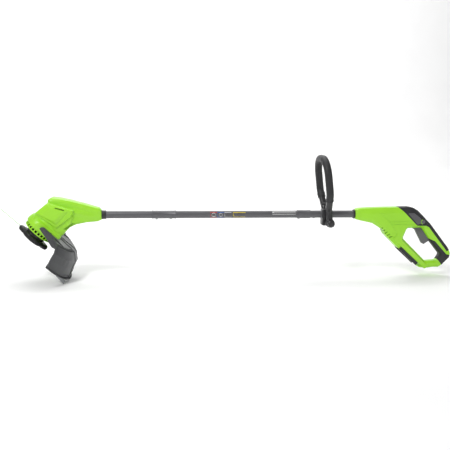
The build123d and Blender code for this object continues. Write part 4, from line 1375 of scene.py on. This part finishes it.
# ---- Loop handle ----
@dataclass
class LoopHandle:
    """The tilting loop: frame, rubber grip, clamp block round the shaft and clamp knob."""
    lean: float = 7.0
    leg: float = 28.5
    wide: float = 71.0
    top: float = 218.0
    core: float = 11.0
    grip: float = 12.5
    grip_start: float = 80.0
    lug_radius: float = 15.0
    lug_in: float = 17.15
    lug_thickness: float = 22.5
    knob_radius: float = 13.0
    flutes: int = 10
    flute_depth: float = 1.5
    body: str = "loop_handle"
    place: Matrix = field(init=False)

    def __post_init__(self) -> None:
        """Works out the loop's plane from its lean."""
        self.place = loop_place(self.lean)

    def path(self, start: float) -> list[tuple[Vector, Vector]]:
        """Points of the loop's centre line and its direction at each, from one leg round to the other.

        Args:
            start: height above the bolt at which it begins.

        Returns:
            Pairs of point and direction in the loop's plane.
        """
        share = max(0.0, (start - 42) / 60)
        side = [(self.leg + share * (self.wide - self.leg), start)]
        radii = [0.0]
        if start < 40:
            side.append((self.leg, 42.0))
            radii.append(30.0)
        side += [(self.wide, 102.0), (self.wide, self.top)]
        radii += [36.0, 58.0]
        corners = side + [(-y, z) for y, z in side[::-1]]
        radii += radii[::-1]
        points = [Vector(corners[0])]
        for i in range(1, len(corners) - 1):
            triple = [corners[i - 1], corners[i], corners[i + 1]]
            arc = corner_round(triple, radii[i], 10)[11:22]
            previous = points[-1]
            gap = Vector(arc[0]) - previous
            count = max(1, int(gap.length / 9))
            points += [previous + gap * k / count for k in range(1, count)]
            points += [Vector(p) for p in arc]
        gap = Vector(corners[-1]) - points[-1]
        points += [points[-1] + gap * k / 6 for k in range(1, 7)]
        pairs = []
        for i, point in enumerate(points):
            ahead = points[min(i + 1, len(points) - 1)] - points[max(i - 1, 0)]
            pairs.append((point, ahead.normalized()))
        return pairs

    def sweep(self, name: str, start: float, across: float, deep: float, square: float,
              swell: Callable[[float], float] = lambda share: 1.0) -> bpy.types.Object:
        """Sweeps a soft-cornered section along the loop.

        Args:
            name: the object's name.
            start: height above the bolt at which it begins.
            across: half size of the section in the loop's plane.
            deep: half size of the section along the shaft.
            square: 2 for an ellipse, more for squarer corners.
            swell: scale of the section at each share of the way round.

        Returns:
            The new object.
        """
        rings = []
        pairs = self.path(start)
        for i, (point, ahead) in enumerate(pairs):
            side = Vector((-ahead.y, ahead.x))
            scale = swell(i / (len(pairs) - 1))
            ring = []
            for k in range(28):
                a = 2 * math.pi * k / 28
                c, s = math.cos(a), math.sin(a)
                u = across * scale * math.copysign(abs(c) ** (2 / square), c)
                v = deep * scale * math.copysign(abs(s) ** (2 / square), s)
                at = point + side * u
                ring.append((v, at.x, at.y))
            rings.append(ring)
        return loft(name, rings)

    def frame(self) -> None:
        """The moulded frame with a lug on each leg."""
        tube = self.sweep("tube", 0.0, self.core, self.core, 2.6)
        lugs = []
        for side in (-1, 1):
            lug = rod("lug", self.lug_radius, self.lug_thickness, 1.4, 64)
            low = self.lug_in if side > 0 else -self.lug_in - self.lug_thickness
            lugs.append(move(lug, turn(-90, "X"), shift(0, low, 0)))
            rib = slab("leg_rib", [(-12.0, -2), (12.0, -2), (9.5, 62), (-9.5, 62)], 2.0, Rim(1, 2), 2.0)
            lugs.append(move(rib, shift(0, side * (self.lug_in + self.lug_thickness / 2), 0)))
        shell = fuse("loop_shell", [tube] + lugs, 1.1, 3)
        trim = box("trim", (-40, -self.lug_in, -20), (40, self.lug_in, 42), 0.1)
        bore = move(rod("bore", 4.1, 200, 0.1, 32), turn(-90, "X"), shift(0, -100, 0))
        seat = rod("nut_seat", 8.8, 20, 0.1, 6)
        move(seat, turn(-90, "X"), shift(0, self.lug_in + self.lug_thickness - 6.5, 0))
        carve(shell, [trim, bore, seat])
        dress(shell, self.place, HANDLE_BLACK, self.body, "collar_plastic", "loop_frame", angle=30)

    def rubber(self) -> None:
        """The overmoulded grip, with a rolled band where it ends."""
        def swell(share: float) -> float:
            """A rolled band at both ends of the grip."""
            end = min(share, 1 - share)
            return 1.09 if 0.006 < end < 0.022 else (1.0 if end > 0.03 else 1.04)

        grip = self.sweep("loop_rubber", self.grip_start, self.grip, self.grip, 2.3, swell)
        dress(grip, self.place, INSERT_BLACK, self.body, "grip_rubber", "loop_grip", angle=30)

    def knob(self) -> None:
        """The clamp knob, with finger flutes and a domed cap."""
        seat = -self.lug_in - self.lug_thickness - 0.35 - 1.6
        profile = [(0.0, 0.93), (0.6, 0.98), (2.2, 1.0), (9.5, 0.97), (12.6, 0.9), (14.2, 0.76), (15.0, 0.5)]
        rings = []
        for depth, share in profile:
            ring = []
            for k in range(120):
                a = 2 * math.pi * k / 120
                deep = self.flute_depth if 1.0 < depth < 13.5 else 0.0
                flute = max(0.0, math.cos(self.flutes * a)) ** 2 * deep
                r = self.knob_radius * share - flute
                ring.append((r * math.cos(a), seat - depth, r * math.sin(a)))
            rings.append(ring)
        knob = loft("clamp_knob_shell", rings)
        bore = move(rod("bore", 4.02, 9.0, 0.05, 32), turn(90, "X"), shift(0, seat + 0.05, 0))
        carve(knob, [bore])
        dress(knob, self.place, HANDLE_BLACK, "clamp_knob", "collar_plastic", "clamp_knob", angle=30)

    def block(self) -> None:
        """The split block that grips the shaft."""
        low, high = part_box("clamp_block")
        x0, x1 = shaft_span("clamp_block")
        z0, z1 = ((v.z - SHAFT.translation.z) / MM for v in (low, high))
        half = (high.y - low.y) / MM / 2
        body = slab("clamp_block_shell", [(x0, z0), (x1, z0), (x1, z1), (x0, z1)], half, Rim(2.2, 4), 4.5)
        tube = move(rod("tube", TUBE_R + 0.05, 80, 0.05, 72), turn(90, "Y"), shift(x0 - 20, 0, 0))
        slit = box("slit", (x0 - 5, -1.0, z0 - 2), (x1 + 5, 1.0, 0))
        bolt = self.place.inverted() @ SHAFT
        hole = move(rod("hole", 4.1, 80, 0.05, 32), turn(90, "X"), shift(0, 40, 0), bolt.inverted())
        carve(body, [tube, slit, hole])
        dress(body, SHAFT, HANDLE_BLACK, "handle_clamp", "collar_plastic", "clamp_block", angle=30)

    def build(self) -> None:
        """Builds the whole loop handle."""
        self.frame()
        self.rubber()
        self.knob()
        self.block()


# ---- Rear handle ----
@dataclass
class RearHandle:
    """The green rear housing with its rubber inserts, trigger, lock-off button and battery rails."""
    skin: float = 1.1
    grip_half: float = 18.0
    body_half: float = 26.0
    arm_half: float = 27.0
    belly_half: float = 22.0
    pivot: Point2 = (222.0, -40.0)
    lock: Point2 = (237.0, -25.0)
    swing: float = 9.0
    rib_pitch: float = 3.4
    vent_count: int = 5
    insert_gap: float = 0.25
    room: float = 60.0
    body: str = "trimmer_body"
    place: Matrix = field(default_factory=lambda: SHAFT @ Matrix.Translation((REAR_X, 0, 0)))

    OUTLINE = [(0, 17), (12, 21), (59, 23), (157, 25), (188, 26), (205, 22), (222, 12), (268, -33),
               (339, -122), (346, -138), (343, -153), (317, -179), (304, -187), (270, -187), (262, -184),
               (250, -190), (106, -60), (96, -51), (66, -32), (12, -20), (0, -17)]
    OPENING = [(186, -49), (236, -47), (272, -97), (309, -142), (296, -163), (256, -165), (172, -84)]
    ARM = [(106, -60), (166, -78), (253, -163), (262, -170), (262, -184), (250, -190)]
    TRIGGER = [(203, -48), (216, -54), (243, -103), (250, -106), (273, -91), (240, -36), (222, -33),
               (210, -38)]
    TOP = [(149, 60), (149, 25.5), (166, 12), (216, -38), (250, -39), (262, -45), (331, -131), (341, -124),
           (360, -120), (360, 60)]
    LOWER = [(262, -84), (286, -94), (330, -141), (346, -144), (360, -150), (360, -190), (322, -188),
             (298, -158), (290, -130)]

    def stations(self) -> list[tuple[float, ...]]:
        """Sections of the front body: place, half width, top, shoulder, top half width, and the same below."""
        return [(1.0, 17.0, 17.0, 7.0, 9.0, -17.0, 9.0), (14, 18.6, 21.0, 8.5, 11.0, -20.5, 10.0),
                (36, 22.4, 22.4, 8.0, 13.0, -25.0, 12.0), (60, 25.6, 23.2, 7.0, 15.0, -30.5, 14.0),
                (66, 26.0, 23.4, 7.0, 15.0, -33.5, 14.5), (96, 26.0, 24.0, 7.0, 15.0, -52.0, 17.0),
                (106, 26.0, 24.2, 7.0, 15.0, -61.0, 18.0), (138, 26.0, 24.8, 7.0, 15.0, -89.0, 21.0),
                (166, 26.0, 25.3, 7.0, 15.0, -92.0, 22.0), (188, 26.0, 25.8, 6.5, 15.0, -72.0, 22.0),
                (205, 26.0, 22.4, 3.0, 14.0, -50.0, 21.0), (222, 26.0, 12.4, -4.0, 13.0, -48.0, 20.0),
                (240, 25.2, -4.6, -17.0, 12.0, -48.0, 18.0), (250, 22.0, -14.6, -27.0, 11.0, -50.0, 15.0),
                (258, 17.5, -24.0, -34.0, 10.0, -52.0, 12.0)]

    def front(self) -> bpy.types.Object:
        """The front body, lofted through its sections."""
        rings = []
        for x, w, top, shoulder, top_w, bottom, bottom_w in self.stations():
            low = min(bottom + (w - bottom_w) * 0.9, shoulder - 4)
            half = [(bottom_w - 2, bottom), (bottom_w, bottom + 0.8), (w - 1.2, low), (w, low + 3.0),
                    (w, shoulder - 2.0), (w - 0.9, shoulder), (top_w + 1.5, top - 1.4), (top_w - 1, top)]
            rings.append([(x, y, z) for y, z in half] + [(x, -y, z) for y, z in half[::-1]])
        return loft("front", rings)

    def opening_cutter(self) -> bpy.types.Object:
        """Cutter for the hand opening, which flares towards both sides."""
        flare = [(0.0, 9.0), (0.8, 12.5), (2.4, 15.5), (5.0, 18.0), (7.6, 22.0), (9.4, 27.0), (9.4, 40.0)]
        side = [[(x, y, z) for x, z in corner_round(inset(self.OPENING, -d), 9.0 + d, 5)] for d, y in flare]
        far = [[(x, -y, z) for x, y, z in ring] for ring in side]
        return loft("opening", far[::-1] + side)

    def grooves(self) -> list[bpy.types.Object]:
        """Thin cutters for the seams on both flanks."""
        seam = [(60.6, 28.2), (81.6, 10.5), (114.5, -20.5), (124.0, -33.0), (146.0, -66.0), (134.5, -82.0)]
        runs = [*zip(seam, seam[1:]), ((118.0, -24.0), (200.0, -24.0)), ((124.0, -33.0), (208.0, -33.0))]
        cutters = []
        for start, end in runs:
            length, angle = slope(start, end)
            for side in (-1, 1):
                cut = box("groove", (-0.5, -1.1, -0.7), (length + 0.5, 1.1, 0.7))
                cutters.append(move(cut, turn(-angle, "Y"), shift(start[0], side * self.body_half, start[1])))
        return cutters

    def swept_trigger(self) -> list[bpy.types.Object]:
        """Cutters for where the trigger passes as it swings."""
        x, z = self.pivot
        cutters = []
        for share in (0.0, 0.35, 0.7, 1.0):
            cut = slab("trigger_way", inset(self.TRIGGER, -0.9), 8.9, Rim(0.2, 1), 1.0)
            cutters.append(move(cut, shift(-x, 0, -z), turn(-self.swing * share, "Y"), shift(x, 0, z)))
        return cutters

    def vents(self) -> list[bpy.types.Object]:
        """Cutters for the belly's five louvres."""
        cutters = []
        for i in range(self.vent_count):
            cut = box("vent", (-6.0, -45, -1.5), (6.0, 45, 1.5), 1.2)
            cutters.append(move(cut, turn(-38, "Y"), shift(92 + 8.2 * i, 0, -48 - 7.2 * i)))
        return cutters

    def screw_places(self) -> list[Point3]:
        """Seats of the housing screws on the far side."""
        wide, grip, arm = self.body_half, self.grip_half, self.arm_half
        places = [(96, 0, wide), (92, -28, wide), (176, 0, wide), (146, -50, wide), (313, -118, grip),
                  (240, -168, arm), (318, -160, grip)]
        return [(x, half - 4.2, z) for x, z, half in places]

    def whole(self) -> bpy.types.Object:
        """The moulded body before it is parted into shell and inserts."""
        ring = slab("ring", self.OUTLINE, self.grip_half, Rim(8.0, 4), 5.0)
        arm = slab("arm", self.ARM, self.arm_half, Rim(3.2, 2), 2.5)
        belly = slab("belly", [(72, -34), (96, -51), (106, -70), (156, -119), (168, -110), (120, -56)],
                     self.belly_half, Rim(2.0, 2), 3.0)
        mouth = turned("mouth", [(0.0, 15.5), (0.6, 16.6), (3.0, 17.3), (16.0, 18.0), (30, 17)])
        bridge = slab("bridge", [(222, -186), (262, -164), (300, -164), (312, -182), (262, -189)], 20.0,
                      Rim(7.0, 4), 4.0)
        shell = fuse("rear_body", [ring, arm, belly, mouth, bridge, self.front()], self.skin, 3)
        socket = move(rod("socket", TUBE_R + 0.05, 72, 0.05, 72), turn(90, "Y"), shift(-1, 0, 0))
        bore = move(rod("lock_bore", 6.6, 30.0, 0.05, 48), turn(90, "X"),
                    shift(self.lock[0], -5.0, self.lock[1]))
        wells = []
        for x, y, z in self.screw_places():
            wells.append(move(rod("well", 4.0, 20.0, 0.3), turn(-90, "X"), shift(x, y - 0.4, z)))
        cutters = [self.opening_cutter(), socket, bore] + self.swept_trigger() + self.vents()
        return carve(shell, cutters + self.grooves() + wells)

    def shells(self) -> None:
        """The green shell and its two rubber inserts, cut from one body."""
        whole = self.whole()
        top = carve(copy(whole, "top_insert"),
                    [slab("top_room", inset(self.TOP, self.insert_gap), self.room)], Cut.KEEP)
        lower = carve(copy(whole, "lower_insert"),
                      [slab("lower_room", inset(self.LOWER, self.insert_gap), self.room)], Cut.KEEP)
        carve(lower, [slab("top_room", self.TOP, self.room)])
        carve(whole, [slab("top_room", self.TOP, self.room), slab("lower_room", self.LOWER, self.room)])
        whole.name = "rear_housing"
        parting(whole, 0.7, 0.8)
        dress(whole, self.place, GREEN, self.body, "green_plastic", "rear_shell_left", "rear_shell_right",
              angle=28)
        ribs = []
        for start, end in (((219, 14), (268, -33.5)), ((268, -33.5), (338, -121))):
            length, angle = slope(start, end)
            item = box("back_rib", (-0.9, -10.5, -1.4), (0.9, 10.5, 1.0), 0.5)
            run = Repeat(Layout.ROW, int(length / self.rib_pitch), 1.5, self.rib_pitch).build(
                "back_ribs", item, made(INSERT_BLACK))
            ribs.append(move(run, turn(-angle, "Y"), shift(start[0], 0, start[1])))
        top = join("top_grip_insert", [top] + ribs)
        dress(top, self.place, INSERT_BLACK, self.body, "grip_rubber", "top_grip_pad", angle=28)
        lower.name = "lower_grip_insert"
        dress(lower, self.place, INSERT_BLACK, self.body, "grip_rubber", "lower_grip_pad", angle=28)

    def details(self) -> None:
        """Side panels of the insert, a black slab behind the vents as painted shade, screws, trigger, button
        and rail ribs.
        """
        panel = slab("insert_side_panel", [(181, 5.5), (204, 5.5), (218, -5), (229, -14), (229, -32),
                                           (217, -35)], self.body_half + 0.5, Rim(0.8, 2), 2.0)
        dress(panel, self.place, PANEL_GREY, self.body, "trigger_plastic")
        # A black slab behind the belly's louvres: painted shade for the dark inside seen through them.
        painted_shade = slab("vent_backing_rear", [(82, -36), (98, -34), (142, -74), (142, -92), (134, -96),
                                              (106, -67), (97, -52)], 18.5)
        dress(painted_shade, self.place, HEAD_BLACK, self.body, "head_black")
        item = move(screw_head("screw_item", 3.4), turn(-90, "X"))
        run = Repeat(Layout.PLACES).build("rear_housing_screws", item, made(STEEL), self.screw_places())
        dress(run, self.place, STEEL, self.body, "steel", "rear_screws")
        self.trigger()
        self.button()
        self.rails()

    def trigger(self) -> None:
        """The trigger blade, with a soft finger edge."""
        blade = slab("trigger_blade", self.TRIGGER, 8.0, Rim(2.0, 4), 2.2)
        x, z = self.pivot
        pin = move(rod("pin_way", 2.06, 60, 0.05, 24), turn(90, "X"), shift(x, 30, z))
        carve(blade, [pin])
        dress(blade, self.place, TRIGGER_GREY, "trigger", "trigger_plastic", "trigger", angle=30)

    def button(self) -> None:
        """The round lock-off button and the green mark in the recess beside it."""
        low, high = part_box("lock_off_button")
        length = (high.y - low.y) / MM
        radius = (high.x - low.x) / MM / 2
        section = [(0, 0), (radius, 0), (radius, length - 1.6), (radius - 0.5, length - 0.6),
                   (radius - 1.6, length), (radius - 3.0, length), (radius - 3.8, length - 0.7),
                   (0, length - 0.9)]
        shaft = lathe("lock_button", section, steps=64)
        move(shaft, turn(90, "X"), shift(self.lock[0], high.y / MM, self.lock[1]))
        dress(shaft, self.place, TRIGGER_GREY, "lock_off", "trigger_plastic", "lock_off_button", angle=30)
        x, z = self.lock
        mark = lathe("mark", [(6.9, 0), (8.6, 0), (8.6, 1.2), (6.9, 1.2)], 150, 105, 30)
        move(mark, turn(90, "X"), shift(x, -self.body_half + 0.9, z))
        mark.name = "lock_button_mark"
        dress(mark, self.place, GREEN, self.body, "green_plastic")

    def rails(self) -> None:
        """Cooling ribs across the battery's rails."""
        along = Vector((144, -130)).normalized()
        angle = math.degrees(math.atan2(along.y, along.x))
        item = box("rail_rib", (-1.1, -25.2, -11.0), (1.1, 25.2, -3.6), 0.5)
        inner = box("rail_gap", (-5, -19.4, -12), (5, 19.4, -2))
        carve(item, [inner])
        run = Repeat(Layout.ROW, 13, 82.0, 6.0).build("battery_rail_ribs", item, made(DARK_PLASTIC))
        move(run, turn(-angle, "Y"), shift(106, 0, -60))
        dress(run, self.place, DARK_PLASTIC, self.body, "collar_plastic")

    def build(self) -> None:
        """Builds the whole rear handle."""
        self.shells()
        self.details()


# ---- Parts carried over from the CAD ----
CARRIED = {
    "collar_plastic": ["battery_rails"],
    "steel": ["coupling_button", "coupling_spring", "tube_rivets", "guard_screws", "blade_screws",
              "plate_screws", "clamp_bolt", "clamp_washer", "clamp_nut", "trigger_pin", "trigger_spring",
              "knob_spring", "lock_off_spring", "arbor_nut", "motor_mount_plate", "motor_shaft"],
    "blade_steel": ["cutoff_blade"],
    "motor_steel": ["motor_can", "motor_end_cap", "motor_bearings"],
    "magnet": ["motor_magnets"],
    "copper": ["motor_armature", "motor_commutator", "battery_terminals"],
    "head_black": ["cooling_fan", "spool", "switch_module"],
    "line_nylon": ["wound_line"],
    "board_green": ["control_board"],
    "cable_jacket": ["power_cable"],
}


def carry_over() -> None:
    """Gives every CAD node that stays its own procedural finish."""
    left = set(frame["nodes"])
    for slot, nodes in CARRIED.items():
        for node in nodes:
            obj = frame["nodes"][node]
            for place in obj.material_slots:
                place.material = made(SLOT_FINISH[slot])
            left.discard(node)
    LOG.info("carried over %d CAD nodes; %d are replaced", len(frame["nodes"]) - len(left), len(left))


# ---- Studio ----
@dataclass
class Studio:
    """Pale floor with a soft backdrop, soft lights and the camera."""
    azimuth: float = -5.9
    elevation: float = 8.8
    roll: float = 0.65
    distance: float = 2.4
    lens: float = 56.64

    LIGHTS = [("key", (-1.6, -2.2, 2.8), 0.9, 70.0, (0.0, 0.0, 0.15)),
              ("fill", (2.4, -2.4, 1.0), 1.2, 9.0, (0.3, 0.0, 0.15)),
              ("top", (0.0, 0.9, 3.0), 2.4, 26.0, (0.0, 0.3, 0.0)),
              ("wall", (0.0, 2.0, 3.2), 3.0, 90.0, (0.0, 4.0, 0.3))]

    def backdrop(self) -> None:
        """A pale floor that curves up behind the object."""
        profile = [(-4.0, 0.0), (2.6, 0.0), (3.0, 0.03), (3.4, 0.15), (3.75, 0.4), (3.95, 0.8), (4.0, 1.3),
                   (4.0, 5.0)]
        bm = bmesh.new()
        rows = [[bm.verts.new((x, y, z)) for x in (-7.0, 7.0)] for y, z in profile]
        for first, second in zip(rows, rows[1:]):
            bm.faces.new((first[0], first[1], second[1], second[0]))
        for face in bm.faces:
            face.smooth = True
        mesh = bpy.data.meshes.new("floor")
        bm.to_mesh(mesh)
        bm.free()
        floor = add_object("studio_floor", mesh)
        graph = Graph("pale_floor")
        graph.feed("Base Color", graph.mix(graph.span(graph.noise(3.0), 0.0, 1.0), (246, 246, 246),
                                           (250, 250, 250)))
        graph.set(Roughness=0.75, Specular_IOR_Level=0.2)
        floor.data.materials.append(graph.material)

    def light(self, name: str, place: Point3, size: float, power: float, target: Point3) -> None:
        """One soft square light.

        Args:
            name: its name.
            place: where it stands.
            size: its width.
            power: in watts.
            target: what it points at.
        """
        data = bpy.data.lights.new(name, "AREA")
        data.size = size
        data.energy = power
        lamp = bpy.data.objects.new(name, data)
        lamp.location = place
        lamp.rotation_euler = (Vector(target) - Vector(place)).to_track_quat("-Z", "Y").to_euler()
        bpy.context.scene.collection.objects.link(lamp)

    def camera(self) -> None:
        """The camera, looking at the middle of the shaft from slightly above."""
        low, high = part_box("coupling_sleeve")
        target = (low + high) / 2 + Vector((0.206, 0, -0.0365))
        a, e, r = (math.radians(v) for v in (self.azimuth, self.elevation, self.roll))
        back = Vector((math.sin(a) * math.cos(e), -math.cos(a) * math.cos(e), math.sin(e)))
        right = (-back).cross(Vector((0, 0, 1))).normalized()
        up = right.cross(-back)
        turned_right = right * math.cos(r) + up * math.sin(r)
        turned_up = up * math.cos(r) - right * math.sin(r)
        data = bpy.data.cameras.new("camera")
        data.lens = self.lens
        data.sensor_width = 36.0
        data.clip_start = 0.05
        camera = bpy.data.objects.new("camera", data)
        matrix = Matrix((turned_right, turned_up, back)).transposed().to_4x4()
        matrix.translation = target + back * self.distance
        camera.matrix_world = matrix
        bpy.context.scene.collection.objects.link(camera)
        bpy.context.scene.camera = camera

    def world(self) -> None:
        """Even white light from all round."""
        world = bpy.data.worlds.new("white_room")
        world.use_nodes = True
        node = world.node_tree.nodes["Background"]
        node.inputs["Color"].default_value = (1.0, 1.0, 1.0, 1.0)
        node.inputs["Strength"].default_value = 0.34
        bpy.context.scene.world = world
        bpy.context.scene.view_settings.view_transform = "Standard"

    def build(self) -> None:
        """Builds the studio."""
        self.backdrop()
        self.world()
        self.camera()
        for name, place, size, power, target in self.LIGHTS:
            self.light(name, place, size, power, target)


def main() -> None:
    """Builds every sub-assembly in order."""
    logging.basicConfig(level=logging.INFO, format="%(name)s: %(message)s")
    for part in (Studio(), Shaft(), MotorHead(), Guard(), LineHead(), LoopHandle(), RearHandle()):
        part.build()
        LOG.info("built %s", type(part).__name__)
    carry_over()


if __name__ == "__main__":
    main()
